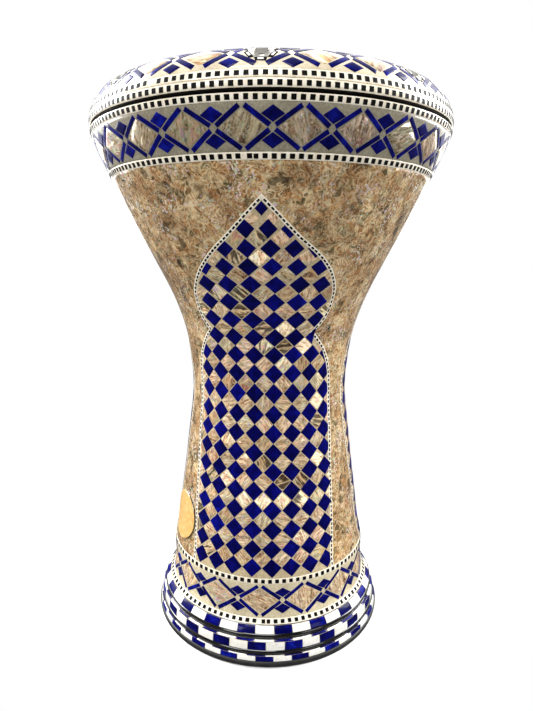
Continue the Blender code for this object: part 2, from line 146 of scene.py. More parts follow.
shell, ring = Surface(SHELL_LINE, "shell"), Surface(RING_LINE, "tuning_ring")


# -------------------------------------------------------------- mesh building
def grid_faces(rows, cols, wrap_rows=False, wrap_cols=True):
    """Quads between successive rows of points."""
    out = []
    for j in range(rows if wrap_rows else rows - 1):
        a, b = j * cols, (j + 1) % rows * cols
        for i in range(cols if wrap_cols else cols - 1):
            h = (i + 1) % cols
            out.append((a + i, a + h, b + h, b + i))
    return out


def turned_faces(rows, cols):
    """Quads of a closed section swept round, facing the other way from grid_faces."""
    return [(a, d, c, b) for a, b, c, d in grid_faces(rows, cols, wrap_rows=True)]


class Piece:
    """Gathers the vertices, faces and tile_uv vectors of one mesh."""

    def __init__(self):
        self.verts, self.faces, self.tex, self.count = [], [], [], 0

    def add(self, verts, faces, tex=None):
        verts = np.asarray(verts, float).reshape(-1, 3)
        tex = np.zeros_like(verts) if tex is None else np.asarray(tex, float).reshape(-1, 3)
        self.verts.append(verts)
        self.tex.append(tex)
        self.faces += [tuple(i + self.count for i in face) for face in faces]
        self.count += len(verts)

    def build(self, name, material=None, smooth=True, sharp=35):
        mesh = bpy.data.meshes.new(name)
        mesh.from_pydata([tuple(p) for p in np.concatenate(self.verts)], [], self.faces)
        mesh.update()
        uv = mesh.attributes.new("tile_uv", "FLOAT_VECTOR", "POINT")
        uv.data.foreach_set("vector", np.concatenate(self.tex).astype(np.float32).ravel())
        if material:
            mesh.materials.append(material)
        # writing the index also makes the mesh's material_index attribute
        mesh.polygons.foreach_set("material_index", [0] * len(mesh.polygons))
        mesh.polygons.foreach_set("use_smooth", [smooth] * len(mesh.polygons))
        if smooth:
            mesh.set_sharp_from_angle(angle=math.radians(sharp))
        ob = bpy.data.objects.new(name, mesh)
        bpy.context.scene.collection.objects.link(ob)
        return ob


def attach(ob, owner, node=None):
    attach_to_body(ob, owner)
    if node:
        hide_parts(node)


def lathe(piece, section, seg=256):
    """Turn a closed section [(r, z), ...], given outer side top to bottom."""
    phi = np.arange(seg) / seg * TAU
    r, z = np.array(section)[:, :, None].transpose(1, 0, 2)
    z = z + 0 * phi
    verts = np.stack([r * np.sin(phi), -r * np.cos(phi), z], -1) * MM
    tex = np.stack([phi * r.max() + 0 * z, z, 0 * z], -1)
    piece.add(verts, turned_faces(len(section), seg), tex)


def turned(name, section, material, owner, node=None, seg=256):
    piece = Piece()
    lathe(piece, section, seg)
    ob = piece.build(name, material)
    attach(ob, owner, node)
    return ob


def arc(centre, radius, start, end, steps):
    """(r, z) points of an arc, angles in degrees."""
    angles = [math.radians(start + (end - start) * i / steps) for i in range(steps + 1)]
    return [(centre[0] + radius * math.cos(a), centre[1] + radius * math.sin(a)) for a in angles]


def layer_section(surf, s0, s1, top, bottom, edge, steps):
    """Section of a layer with rounded long edges, outer side top to bottom, then back."""
    half = steps // 2
    stations = [(s1, top - edge), (s1 - edge * 0.35, top - edge * 0.3)]
    stations += [(s1 - edge - (s1 - s0 - 2 * edge) * i / steps, top) for i in range(steps + 1)]
    stations += [(s0 + edge * 0.35, top - edge * 0.3), (s0, top - edge)]
    stations += [(s0 + (s1 - s0) * i / half, bottom) for i in range(half + 1)]
    return [surf.profile(s, d) for s, d in stations]


def circle_points(centre, radius, z, sides=48):
    """A level loop; radius may be one value or one per point."""
    angles = np.arange(sides) / sides * TAU
    return np.stack([centre[0] + radius * np.cos(angles), centre[1] + radius * np.sin(angles),
                     np.full(sides, z)], 1)


def hex_factor(angles):
    """Distance to the side of a hexagon of unit half width."""
    return 1.0 / np.cos((angles % (TAU / 6)) - TAU / 12)


# ---------------------------------------------------------------------- tiles
def wobble(amount):
    return rng.uniform(-amount, amount)


def split_edges(corners, seg):
    out = []
    for i in range(len(corners)):
        a, b = np.array(corners[i]), np.array(corners[(i + 1) % len(corners)])
        parts = max(1, int(math.ceil(np.linalg.norm(b - a) / seg)))
        for j in range(parts):
            out.append(a + (b - a) * j / parts)
    return np.array(out)


def inset_loop(p, distance):
    """Move a convex anticlockwise loop inwards, mitred at corners."""
    before, after = p - np.roll(p, 1, 0), np.roll(p, -1, 0) - p
    before /= np.linalg.norm(before, axis=1)[:, None]
    after /= np.linalg.norm(after, axis=1)[:, None]
    n1 = np.stack([-before[:, 1], before[:, 0]], 1)
    n2 = np.stack([-after[:, 1], after[:, 0]], 1)
    mitre = n1 + n2
    mitre /= np.linalg.norm(mitre, axis=1)[:, None]
    reach = distance / np.maximum((mitre * n1).sum(1), 0.35)
    return p + mitre * reach[:, None]


def area(loop):
    x, y = np.array(loop).T
    return 0.5 * float(np.sum(x * np.roll(y, -1) - y * np.roll(x, -1)))


def clip(loop, point, normal):
    """Keep the part of a convex loop on the normal's side of the point."""
    out = []
    for i in range(len(loop)):
        a, b = np.array(loop[i]), np.array(loop[(i + 1) % len(loop)])
        da, db = np.dot(a - point, normal), np.dot(b - point, normal)
        if da >= 0:
            out.append(a)
        if (da > 0) != (db > 0) and abs(da - db) > 1e-9:
            out.append(a + (b - a) * da / (da - db))
    return out


def chart(surf, azimuth, s):
    """Flat coordinates centred on a point; x is arc length at s. Gives metres."""
    r = surf.radius(s)
    return lambda x, y, d: surf.at(azimuth + np.asarray(x) / r, s + np.asarray(y), d)


def true_chart(surf, azimuth, s):
    """Like chart, but x keeps its length at every distance."""
    return lambda x, y, d: surf.at(
        azimuth + np.asarray(x) / np.interp(s + np.asarray(y), surf.s, surf.r),
        s + np.asarray(y), d)


def tile(piece, place, corners, height=0.22, bevel=0.22, depth=0.35, seg=3.2):
    """Lay one convex tile with a softened edge through a chart, its texture turned at random."""
    corners = [tuple(q) for q in corners]
    if area(corners) < 0:
        corners = corners[::-1]
    if area(corners) < 0.3:
        return
    p = split_edges(corners, seg)
    centre = p.mean(0)
    size = math.sqrt(area(corners))
    bevel = min(bevel, size * 0.12)
    crown = inset_loop(p, bevel)
    loops = [(p, -depth), (p, height * 0.25),
             (inset_loop(p, bevel * 0.3), height * 0.75), (crown, height)]
    inner = [0.62, 0.3] if size > 5 else ([0.5] if size > 3.5 else [])
    loops += [(centre + (crown - centre) * k, height) for k in inner]
    seed = rng.random()
    turn = rng.random() * TAU
    cos, sin = math.cos(turn), math.sin(turn)

    def tex(q):
        x, y = (q - centre).T
        return np.stack([x * cos - y * sin + seed * 613.0, x * sin + y * cos + seed * 377.0,
                         np.full(len(q), seed)], 1)

    n, rows = len(p), len(loops)
    middle = centre[None]
    loops += [(middle, height), (middle, -depth)]
    verts = np.concatenate([place(q[:, 0], q[:, 1], d) for q, d in loops])
    top, bottom = rows * n, rows * n + 1
    last = (rows - 1) * n
    faces = grid_faces(rows, n)
    faces += [(last + i, last + (i + 1) % n, top) for i in range(n)]
    faces += [((i + 1) % n, i, bottom) for i in range(n)]
    piece.add(verts, faces, np.concatenate([tex(q) for q, _ in loops]))


# ----------------------------------------------------------------- materials
def srgb(*rgb):
    """Linear colour from 0-255 display values."""
    return tuple(c / 255 / 12.92 if c / 255 < 0.04045 else ((c / 255 + 0.055) / 1.055) ** 2.4
                 for c in rgb) + (1.0,)


def tones(*rows):
    """Ramp stops from rows of (position, red, green, blue)."""
    return [(row[0], srgb(*row[1:])) for row in rows]


class Nodes:
    """Short ways to add nodes to a tree."""

    def __init__(self, tree):
        self.tree = tree

    def put(self, socket, value):
        if isinstance(value, bpy.types.NodeSocket):
            self.tree.links.new(value, socket)
        else:
            socket.default_value = value

    def node(self, kind, ins=None, **props):
        node = self.tree.nodes.new(kind)
        for key, value in props.items():
            setattr(node, key, value)
        for key, value in (ins or {}).items():
            self.put(node.inputs[key], value)
        return node

    def coords(self, kind="Object"):
        return self.node("ShaderNodeTexCoord").outputs[kind]

    def tile_uv(self):
        return self.node("ShaderNodeAttribute", attribute_name="tile_uv").outputs["Vector"]

    def noise(self, vec, scale, detail=4, rough=0.55, distort=0.0, out="Fac"):
        return self.node("ShaderNodeTexNoise", {
            "Vector": vec, "Scale": scale, "Detail": detail, "Roughness": rough,
            "Distortion": distort}).outputs[out]

    def voronoi(self, vec, scale, feature="F1", out="Color"):
        return self.node("ShaderNodeTexVoronoi", {"Vector": vec, "Scale": scale, "Randomness": 1.0},
                         voronoi_dimensions="3D", feature=feature).outputs[out]

    def ramp(self, fac, *stops):
        """Stops are (position, colour)."""
        node = self.node("ShaderNodeValToRGB", {"Fac": fac})
        elements = node.color_ramp.elements
        while len(elements) < len(stops):
            elements.new(0.5)
        for element, (position, colour) in zip(elements, stops):
            element.position = position
            element.color = colour if len(colour) == 4 else (*colour, 1)
        return node.outputs["Color"]

    def grey_ramp(self, fac, *stops):
        """Stops are (position, level)."""
        return self.ramp(fac, *[(position, (v, v, v)) for position, v in stops])

    def math(self, op, a, b=0.0, c=None, clamp=False):
        node = self.node("ShaderNodeMath", {0: a, 1: b}, operation=op, use_clamp=clamp)
        if c is not None:
            self.put(node.inputs[2], c)
        return node.outputs[0]

    def times(self, a, b):
        return self.math("MULTIPLY", a, b)

    def vector(self, op, a, b=None, scale=None):
        ins = {0: a}
        if b is not None:
            ins[1] = b
        if scale is not None:
            ins["Scale"] = scale
        outputs = self.node("ShaderNodeVectorMath", ins, operation=op).outputs
        return outputs["Value" if op in ("LENGTH", "DOT_PRODUCT") else "Vector"]

    def separate(self, vec):
        return self.node("ShaderNodeSeparateXYZ", {"Vector": vec}).outputs

    def mix(self, fac, a, b, blend="MIX"):
        return self.node("ShaderNodeMix", {"Factor": fac, 6: a, 7: b},
                         data_type="RGBA", blend_type=blend).outputs[2]

    def tint(self, colour, by, amount=1.0):
        return self.mix(amount, colour, by, "MULTIPLY")

    def contrast(self, value, gain, mid=0.5):
        """Spread a value round its middle and keep it between 0 and 1."""
        spread = self.times(self.math("SUBTRACT", value, mid), gain)
        return self.math("ADD", spread, 0.5, clamp=True)

    def hashed(self, seed, by):
        """A second random value from a seed."""
        return self.math("FRACT", self.times(seed, by))

    def off_middle(self, value, mid=0.5):
        return self.math("ABSOLUTE", self.math("SUBTRACT", value, mid))

    def add_random(self, vec, colour, amount):
        """Move a vector by a random colour centred on zero."""
        centred = self.vector("SUBTRACT", colour, (0.5, 0.5, 0.5))
        return self.vector("ADD", vec, self.vector("SCALE", centred, scale=amount))

    def facets(self, colour, amount):
        """Normal tipped a different way in each flake, so flakes catch the light one by one."""
        normal = self.node("ShaderNodeNewGeometry").outputs["Normal"]
        return self.vector("NORMALIZE", self.add_random(normal, colour, amount))

    def bump(self, height, strength, distance):
        return self.node("ShaderNodeBump", {"Height": height, "Strength": strength,
                                            "Distance": distance}).outputs["Normal"]


class Material(Nodes):
    def __init__(self, name):
        self.material = bpy.data.materials.new(name)
        self.material.use_nodes = True
        super().__init__(self.material.node_tree)
        self.shader = self.tree.nodes["Principled BSDF"]

    def surface(self, **inputs):
        """Set Principled inputs, underscores standing for spaces, and give the material."""
        for key, value in inputs.items():
            self.put(self.shader.inputs[key.replace("_", " ")], value)
        return self.material


def make_cobalt(name, deep, mid, light):
    m = Material(name)
    uv = m.tile_uv()
    seed = m.separate(uv)["Z"]
    cloud = m.contrast(m.noise(uv, scale=0.16, distort=0.6), gain=2.6)
    base = m.ramp(cloud, (0.10, deep), (0.55, mid), (0.95, light))
    variety = m.ramp(m.hashed(seed, by=31.7), (0.0, (0.62, 0.62, 0.74)), (0.55, (1.0, 1.0, 1.0)),
                     (0.86, (1.15, 1.2, 1.3)), (1.0, (1.5, 2.6, 1.75)))
    fine = m.noise(uv, scale=5.0, detail=3, rough=0.6)
    return m.surface(
        Base_Color=m.tint(base, variety), Roughness=0.30,
        Normal=m.bump(fine, strength=0.05, distance=0.0002),
        Coat_Weight=0.16, Coat_Roughness=0.04, Specular_IOR_Level=0.05)


def make_pearl(name, stops, gain, iris, grey, scale, dark_lines, veins, sparks=0.3):
    """Mother of pearl: growth lines sweep across each tile, turned differently in each.
    gain is overall brightness, iris the colour play, grey the share of dark banded tiles."""
    m = Material(name)
    uv = m.tile_uv()
    seed = m.separate(uv)["Z"]

    def swept_noise(frequency, gain, distort):
        return m.contrast(m.noise(swept, frequency * scale, 2, 0.5, distort), gain)

    drift = m.noise(uv, scale=0.13 * scale, detail=2, rough=0.5, distort=0.4, out="Color")
    warped = m.add_random(uv, drift, amount=3.0)
    swept = m.vector("MULTIPLY", warped, (1.0, 0.20, 1.0))
    band = swept_noise(frequency=0.17, gain=4.2, distort=0.3)
    lines = swept_noise(frequency=0.44, gain=4.5, distort=0.3)
    hair = swept_noise(frequency=1.05, gain=5.0, distort=0.2)
    colour = m.ramp(m.math("ADD", m.times(band, 0.66), m.times(lines, 0.34)), *stops)
    # brown growth lines, pale hairlines
    brown = m.ramp(lines, (0.03, srgb(124, 88, 56)), (0.30, (1, 1, 1)))
    colour = m.tint(colour, brown, dark_lines)
    pale = m.ramp(hair, (0.0, srgb(176, 150, 120)), (0.4, (1, 1, 1)), (0.85, (1.5, 1.48, 1.42)))
    colour = m.tint(colour, pale, 0.6)
    # thin pale threads where the layers end
    ridge = m.off_middle(m.noise(warped, scale=0.36 * scale, detail=2, rough=0.5, distort=0.9))
    thread = m.grey_ramp(ridge, (0.0, 1), (0.065, 0))
    colour = m.mix(m.times(m.separate(thread)["X"], veins), colour, srgb(244, 232, 208))
    # colour play, pink to green to blue, strongest in some tiles
    hue = m.contrast(m.noise(warped, scale=0.22 * scale, detail=2, rough=0.5, distort=0.5),
                     gain=3.4)
    play = m.ramp(hue, *tones(
        (0.05, 232, 160, 176), (0.25, 240, 196, 172), (0.45, 244, 234, 204),
        (0.62, 164, 204, 140), (0.78, 150, 200, 200), (0.95, 210, 172, 222)))
    strong = m.grey_ramp(m.hashed(seed, by=57.3), (0.0, 0.10), (0.6, 0.38), (1.0, 1))
    patch = m.contrast(m.noise(swept, scale=0.55 * scale, detail=3, rough=0.6),
                       gain=4.5, mid=0.52)
    amount = m.math("MULTIPLY", m.times(patch, strong), iris, clamp=True)
    colour = m.mix(amount, colour, play)
    # small glints of pink, white, green and blue, in drifts
    glint = m.voronoi(m.vector("MULTIPLY", warped, (1.0, 0.55, 1.0)), scale=1.15)
    lit = m.math("GREATER_THAN", m.separate(glint)["Y"], 0.72)
    zone = m.contrast(m.noise(warped, scale=0.16, detail=2, rough=0.5), gain=7.0, mid=0.53)
    spark = m.ramp(m.separate(glint)["X"], (0.0, (1.15, 0.72, 0.86)), (0.3, (1.25, 1.2, 1.12)),
                   (0.55, (0.66, 1.0, 0.66)), (0.8, (0.66, 0.92, 1.05)), (1.0, (1.1, 0.9, 0.75)))
    colour = m.mix(m.times(m.times(lit, zone), sparks), colour, spark)
    # whole-tile variety: tan, cream, rosy, grey-green, nearly white
    variety = m.ramp(
        m.hashed(seed, by=17.3),
        (0.0, (0.60, 0.48, 0.34)), (0.16, (0.80, 0.68, 0.52)), (0.36, (0.98, 0.86, 0.72)),
        (0.52, (1.0, 0.82, 0.76)), (0.68, (0.80, 0.82, 0.66)), (0.80, (0.72, 0.66, 0.56)),
        (0.90, (1.3, 1.24, 1.12)), (1.0, (1.9, 1.88, 1.76)))
    colour = m.tint(colour, variety, 0.9)
    # a few tiles with blackish banding
    banded = m.math("GREATER_THAN", m.hashed(seed, by=91.1), 1.0 - grey * 0.3)
    bands = m.ramp(lines, (0.3, (0.22, 0.22, 0.20)), (0.6, (0.95, 0.97, 0.93)))
    colour = m.mix(banded, colour, m.tint(colour, bands))
    colour = m.tint(colour, (gain, gain, gain, 1))
    flakes = m.voronoi(swept, scale=0.5 * scale)
    return m.surface(
        Base_Color=colour, Metallic=0.18, Roughness=m.math("ADD", 0.18, m.times(hair, 0.15)),
        Normal=m.facets(flakes, amount=0.42),
        Coat_Weight=0.6, Coat_Roughness=0.05, Specular_IOR_Level=0.6)


def make_crushed(name):
    """Crushed shell in clear resin: chips with curved growth lines, veins, pools and sparks."""
    m = Material(name)
    c = m.coords()
    warped = m.add_random(c, m.noise(c, scale=95.0, detail=2, rough=0.5, out="Color"),
                          amount=0.0075)
    big_scale, small_scale = 125.0, 245.0
    big, small = m.voronoi(warped, big_scale), m.voronoi(warped, small_scale)
    grit = m.voronoi(warped, scale=800.0)
    stops = tones(
        (0.0, 112, 100, 70), (0.12, 158, 124, 82), (0.24, 196, 152, 104), (0.36, 180, 136, 90),
        (0.48, 206, 172, 126), (0.58, 166, 120, 76), (0.68, 222, 194, 150),
        (0.78, 146, 138, 100), (0.90, 190, 146, 98), (1.0, 232, 210, 174))
    big_colour = m.ramp(m.separate(big)["X"], *stops)
    small_colour = m.ramp(m.separate(small)["Y"], *stops)
    grit_colour = m.ramp(m.separate(grit)["Z"], *stops)

    def growth(cell, frequency):
        """Lines that run a different way in each chip and curve across it."""
        direction = m.vector("SUBTRACT", cell, (0.5, 0.5, 0.5))
        along = m.vector("DOT_PRODUCT", direction, c)
        curve = m.noise(c, scale=190.0, detail=2, rough=0.5)
        phase = m.math("ADD", m.times(along, frequency), m.times(curve, 16.0))
        return m.math("MULTIPLY_ADD", m.math("SINE", phase), 0.5, 0.5)

    big_lines = m.ramp(
        growth(big, frequency=5200.0), (0.0, (0.50, 0.44, 0.36)), (0.30, (0.86, 0.83, 0.79)),
        (0.72, (1.06, 1.04, 1.0)), (0.95, (1.7, 1.66, 1.58)))
    small_lines = m.ramp(
        growth(small, frequency=7600.0), (0.0, (0.55, 0.48, 0.40)), (0.30, (0.88, 0.85, 0.81)),
        (0.72, (1.08, 1.05, 1.0)), (0.95, (1.7, 1.64, 1.54)))
    big_colour = m.tint(big_colour, big_lines, 0.75)
    small_colour = m.tint(small_colour, small_lines, 0.75)
    is_small = m.contrast(m.noise(c, scale=80.0, detail=3, rough=0.6), gain=14.0, mid=0.48)
    colour = m.mix(is_small, big_colour, small_colour)
    is_grit = m.contrast(m.noise(c, scale=150.0, detail=3, rough=0.6, distort=0.5),
                         gain=16.0, mid=0.60)
    colour = m.mix(m.times(is_grit, 0.7), colour, grit_colour)
    # pale veins between chips and loose splinters across them
    edge_big = m.voronoi(warped, big_scale, "DISTANCE_TO_EDGE", "Distance")
    edge_small = m.voronoi(warped, small_scale, "DISTANCE_TO_EDGE", "Distance")
    gap = m.mix(is_small, m.grey_ramp(edge_big, (0.02, 1), (0.10, 0)),
                m.grey_ramp(edge_small, (0.02, 1), (0.14, 0)))
    some = m.contrast(m.noise(c, scale=170.0, detail=2, rough=0.6), gain=4.5)
    colour = m.mix(m.times(m.separate(gap)["X"], some), colour, srgb(244, 224, 188))
    ridge = m.off_middle(m.noise(warped, scale=150.0, detail=2, rough=0.5, distort=1.4))
    splinter = m.separate(m.grey_ramp(ridge, (0.008, 1), (0.042, 0)))["X"]
    colour = m.mix(m.times(splinter, 0.9), colour, srgb(246, 228, 192))
    # dark grains and pools
    grains = m.ramp(m.noise(warped, scale=480.0, rough=0.7, distort=1.0),
                    (0.34, srgb(90, 74, 54)), (0.45, (1, 1, 1)))
    colour = m.tint(colour, grains, 0.55)
    pools = m.ramp(m.noise(warped, scale=85.0, rough=0.65, distort=0.4),
                   (0.55, (1, 1, 1)), (0.62, srgb(138, 134, 108)), (0.72, srgb(76, 84, 66)))
    colour = m.tint(colour, pools, 0.85)
    # broad drift from brown to pale
    drift = m.ramp(m.noise(c, scale=38.0, rough=0.65), (0.36, (0.70, 0.58, 0.47)),
                   (0.48, (0.95, 0.90, 0.84)), (0.62, (1.26, 1.25, 1.20)))
    colour = m.tint(colour, drift)
    # sparks of pink, white, green and violet in drifts
    spark = m.ramp(m.separate(grit)["X"], (0.0, (1.05, 0.62, 0.72)), (0.3, (1.25, 1.2, 1.12)),
                   (0.55, (0.62, 0.92, 0.62)), (0.8, (0.86, 0.66, 1.0)), (1.0, (1.15, 0.95, 0.78)))
    zone = m.contrast(m.noise(c, scale=48.0, detail=3, rough=0.6, distort=0.6),
                      gain=7.0, mid=0.55)
    lit = m.math("GREATER_THAN", m.separate(grit)["Y"], 0.78)
    colour = m.mix(m.times(m.times(zone, lit), 0.8), colour, spark)
    # overall level
    colour = m.tint(colour, (0.83, 0.80, 0.72, 1))
    return m.surface(
        Base_Color=colour, Metallic=0.08, Roughness=0.27,
        Normal=m.facets(m.mix(is_small, big, small), amount=0.36),
        Coat_Weight=0.75, Coat_Roughness=0.06, Specular_IOR_Level=0.5)


def make_grout(name, dark, mid, light):
    m = Material(name)
    c = m.coords()
    grain = m.noise(c, scale=700.0, detail=5, rough=0.65)
    cloud = m.noise(c, scale=84.0, detail=3, rough=0.5)
    colour = m.ramp(grain, (0.30, dark), (0.5, mid), (0.70, light))
    stain = m.ramp(cloud, (0.35, (0.86, 0.84, 0.80)), (0.6, (1.04, 1.03, 1.0)))
    return m.surface(
        Base_Color=m.tint(colour, stain), Roughness=0.3,
        Normal=m.bump(grain, strength=0.08, distance=0.0003),
        Coat_Weight=0.7, Coat_Roughness=0.10)


def make_ivory(name):
    """Cream strip with a fine joint at each whole step of the texture's x."""
    m = Material(name)
    along = m.separate(m.tile_uv())["X"]
    off = m.off_middle(m.math("FRACT", m.times(along, 1.0)))
    joint = m.ramp(off, (0.468, (1, 1, 1)), (0.49, (0.78, 0.74, 0.68)))
    grain = m.noise(m.coords(), scale=320.0, rough=0.6)
    colour = m.ramp(grain, *tones((0.3, 240, 226, 200), (0.55, 254, 244, 224),
                                  (0.75, 255, 250, 238)))
    return m.surface(
        Base_Color=m.tint(colour, joint), Roughness=0.26,
        Normal=m.bump(grain, strength=0.04, distance=0.0002),
        Coat_Weight=0.8, Coat_Roughness=0.06, Subsurface_Weight=0.05, Subsurface_Scale=0.002)


def make_black(name, rough, coat):
    m = Material(name)
    grain = m.noise(m.coords(), scale=500.0, rough=0.6)
    colour = m.ramp(grain, (0.3, (0.002, 0.002, 0.002)), (0.7, (0.006, 0.0055, 0.005)))
    return m.surface(
        Base_Color=colour, Roughness=rough,
        Normal=m.bump(grain, strength=0.05, distance=0.0003),
        Coat_Weight=coat, Coat_Roughness=0.08, Specular_IOR_Level=0.08 + 0.42 * coat)


def make_white_tile(name):
    m = Material(name)
    uv = m.tile_uv()
    seed = m.separate(uv)["Z"]
    cloud = m.noise(uv, scale=0.3, detail=5, rough=0.6, distort=0.8)
    colour = m.ramp(cloud, *tones((0.3, 228, 226, 216), (0.5, 248, 246, 238),
                                  (0.72, 255, 253, 247)))
    variety = m.ramp(seed, (0.0, (0.93, 0.93, 0.92)), (0.5, (1, 1, 1)), (1.0, (1.0, 0.98, 0.94)))
    return m.surface(
        Base_Color=m.tint(colour, variety), Roughness=0.22,
        Normal=m.bump(cloud, strength=0.03, distance=0.0003),
        Coat_Weight=0.9, Coat_Roughness=0.05)


def make_metal(name, colour, rough, lines, cast=0.0, metal=1.0):
    """lines is the depth of the turning marks, cast that of the casting grain."""
    m = Material(name)
    c = m.coords()
    grain = m.noise(c, scale=900.0 if cast else 400.0, detail=5, rough=0.65)
    marks = m.noise(m.vector("MULTIPLY", c, (1.0, 1.0, 40.0)), scale=60.0, rough=0.6)
    darker = tuple(x * 0.62 for x in colour[:3]) + (1,)
    height = m.math("ADD", m.times(grain, cast), m.times(marks, lines))
    return m.surface(
        Base_Color=m.mix(m.times(grain, 0.35), colour, darker), Metallic=metal,
        Roughness=m.math("ADD", m.times(grain, 0.14), rough - 0.07),
        Normal=m.bump(height, strength=0.35 if cast else 0.15, distance=0.0005))


def make_film(name):
    """White head film, a little discoloured by distance from the middle."""
    m = Material(name)
    c = m.coords()
    cloud = m.noise(c, scale=30.0, detail=5)
    fine = m.noise(c, scale=1500.0, detail=2, rough=0.5)
    from_middle = m.vector("LENGTH", m.vector("MULTIPLY", c, (1, 1, 0)))
    worn = m.ramp(m.times(from_middle, 9.0), (0.0, (0.93, 0.92, 0.89)), (0.55, (1, 1, 1)),
                  (0.86, (0.97, 0.965, 0.95)), (1.0, (1, 1, 1)))
    colour = m.ramp(cloud, *tones((0.35, 200, 199, 192), (0.65, 214, 213, 207)))
    return m.surface(
        Base_Color=m.tint(colour, worn), Roughness=0.36,
        Normal=m.bump(fine, strength=0.04, distance=0.0002),
        Subsurface_Weight=0.25, Subsurface_Scale=0.004, Coat_Weight=0.15, Coat_Roughness=0.25)


def make_gold(name):
    m = Material(name)
    grain = m.noise(m.coords(), scale=260.0, detail=5, rough=0.6)
    colour = m.ramp(grain, *tones((0.3, 222, 166, 84), (0.5, 233, 186, 112),
                                  (0.7, 242, 205, 140)))
    return m.surface(
        Base_Color=colour, Metallic=0.10, Roughness=0.34,
        Normal=m.bump(grain, strength=0.10, distance=0.0003),
        Coat_Weight=0.5, Coat_Roughness=0.12)


def make_rubber(name):
    m = Material(name)
    c = m.coords()
    grain = m.noise(c, scale=1400.0, rough=0.6)
    cloud = m.noise(c, scale=120.0, detail=3, rough=0.6)
    return m.surface(
        Base_Color=m.ramp(cloud, (0.3, (0.010, 0.010, 0.010)), (0.7, (0.028, 0.027, 0.026))),
        Roughness=m.math("ADD", 0.42, m.times(grain, 0.15)),
        Normal=m.bump(grain, strength=0.12, distance=0.0003))


COBALT = make_cobalt("cobalt_tile", deep=srgb(0, 1, 60), mid=srgb(2, 2, 84),
                     light=srgb(5, 8, 108))
COBALT_PALE = make_cobalt("cobalt_strip", deep=srgb(0, 1, 64), mid=srgb(2, 4, 90),
                          light=srgb(8, 18, 124))
PEARL = make_pearl(
    "mother_of_pearl",
    tones((0.06, 158, 118, 80), (0.22, 196, 158, 116), (0.38, 222, 194, 156),
          (0.52, 238, 222, 194), (0.66, 204, 172, 134), (0.80, 244, 234, 212),
          (0.95, 186, 144, 104)),
    gain=1.08, iris=0.8, grey=0.25, scale=0.72, dark_lines=0.5, veins=0.75)
PEARL_DARK = make_pearl(
    "mother_of_pearl_smoky",
    tones((0.06, 140, 118, 88), (0.22, 176, 156, 122), (0.38, 206, 190, 158),
          (0.52, 224, 212, 186), (0.66, 178, 162, 128), (0.80, 228, 220, 198),
          (0.95, 150, 132, 98)),
    gain=0.70, iris=0.9, grey=0.0, scale=0.62, dark_lines=0.55, veins=0.8, sparks=0.75)
PEARL_CREAM = make_pearl(
    "mother_of_pearl_cream",
    tones((0.05, 190, 116, 54), (0.20, 226, 174, 112), (0.36, 244, 214, 168),
          (0.60, 250, 232, 200), (0.80, 246, 216, 172), (0.95, 226, 168, 104)),
    gain=0.86, iris=0.25, grey=0.0, scale=0.45, dark_lines=0.8, veins=0.3, sparks=0.0)
CRUSHED = make_crushed("crushed_shell")
GROUT = make_grout("grout_panel", dark=srgb(172, 153, 118), mid=srgb(198, 180, 145),
                   light=srgb(220, 204, 170))
GROUT_BAND = make_grout("grout_shell_dust", dark=srgb(128, 121, 103), mid=srgb(150, 143, 124),
                        light=srgb(172, 165, 145))
GROUT_FOOT = make_grout("grout_foot", dark=srgb(196, 182, 146), mid=srgb(216, 204, 172),
                        light=srgb(232, 222, 196))
GROUT_RING = make_grout("grout_ring", dark=srgb(210, 192, 160), mid=srgb(226, 212, 184),
                        light=srgb(240, 228, 206))
IVORY = make_ivory("ivory_strip")
BLACK = make_black("black_inlay", rough=0.5, coat=0.0)
BEAD = make_black("black_bead", rough=0.14, coat=1.0)
WHITE = make_white_tile("white_tile")
ALUMINIUM = make_metal("cast_aluminium", srgb(200, 200, 203), rough=0.40, lines=0.3, cast=0.6)
ALUMINIUM_RING = make_metal("turned_aluminium", srgb(206, 206, 208), rough=0.28, lines=0.6)
RECESS = make_metal("polished_recess", srgb(206, 204, 196), rough=0.34, lines=0.2, metal=0.5)
STEEL = make_metal("plated_steel", srgb(196, 198, 202), rough=0.20, lines=0.1)
BRASS = make_metal("brass", srgb(206, 172, 96), rough=0.30, lines=0.2)
FILM = make_film("head_film_white")
GOLD = make_gold("badge_gold")
RUBBER = make_rubber("base_rubber")


def paint(node, material):
    """Give a CAD piece that stays a material."""
    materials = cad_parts[node].data.materials
    materials.clear()
    materials.append(material)


# ------------------------------------------------------------- band grounds
def strip_round(z):
    """Span of a dotted strip centred on a height of the shell."""
    middle = shell.find(z)
    return middle - STRIP_WIDTH / 2, middle + STRIP_WIDTH / 2


# Spans along the outlines: (start, end)
RIM_STRIP = (shell.length - STRIP_WIDTH, shell.length - 0.05)
SHOULDER_STRIP = strip_round(374.1)
ANKLE_STRIP = strip_round(64.5)
FOOT_STRIP = (0.1, 0.1 + STRIP_WIDTH)
RING_BAND_START = ring.find(418.35)


def band_ground(name, surf, start, end, material, node, steps=14, seg=256, thick=2.4):
    section = layer_section(surf, start, end, GROUND_TOP, -thick, edge=0.12, steps=steps)
    return turned(name, section, material, surf.owner, node, seg)


band_ground("shell_field", shell, ANKLE_STRIP[1] - LAP, SHOULDER_STRIP[0] + LAP, CRUSHED,
            "pearl_field", steps=150, seg=288)
band_ground("upper_band_ground", shell, SHOULDER_STRIP[1] - LAP, RIM_STRIP[0] + LAP, GROUT_BAND,
            "upper_mosaic_band")
band_ground("lower_band_ground", shell, FOOT_STRIP[1] - LAP, ANKLE_STRIP[0] + LAP, GROUT_FOOT,
            "lower_mosaic_band")
ring_ground = band_ground("ring_ground", ring, RING_BAND_START - LAP, ring.length, GROUT_RING,
                          "ring_mosaic", steps=26, thick=2.2)


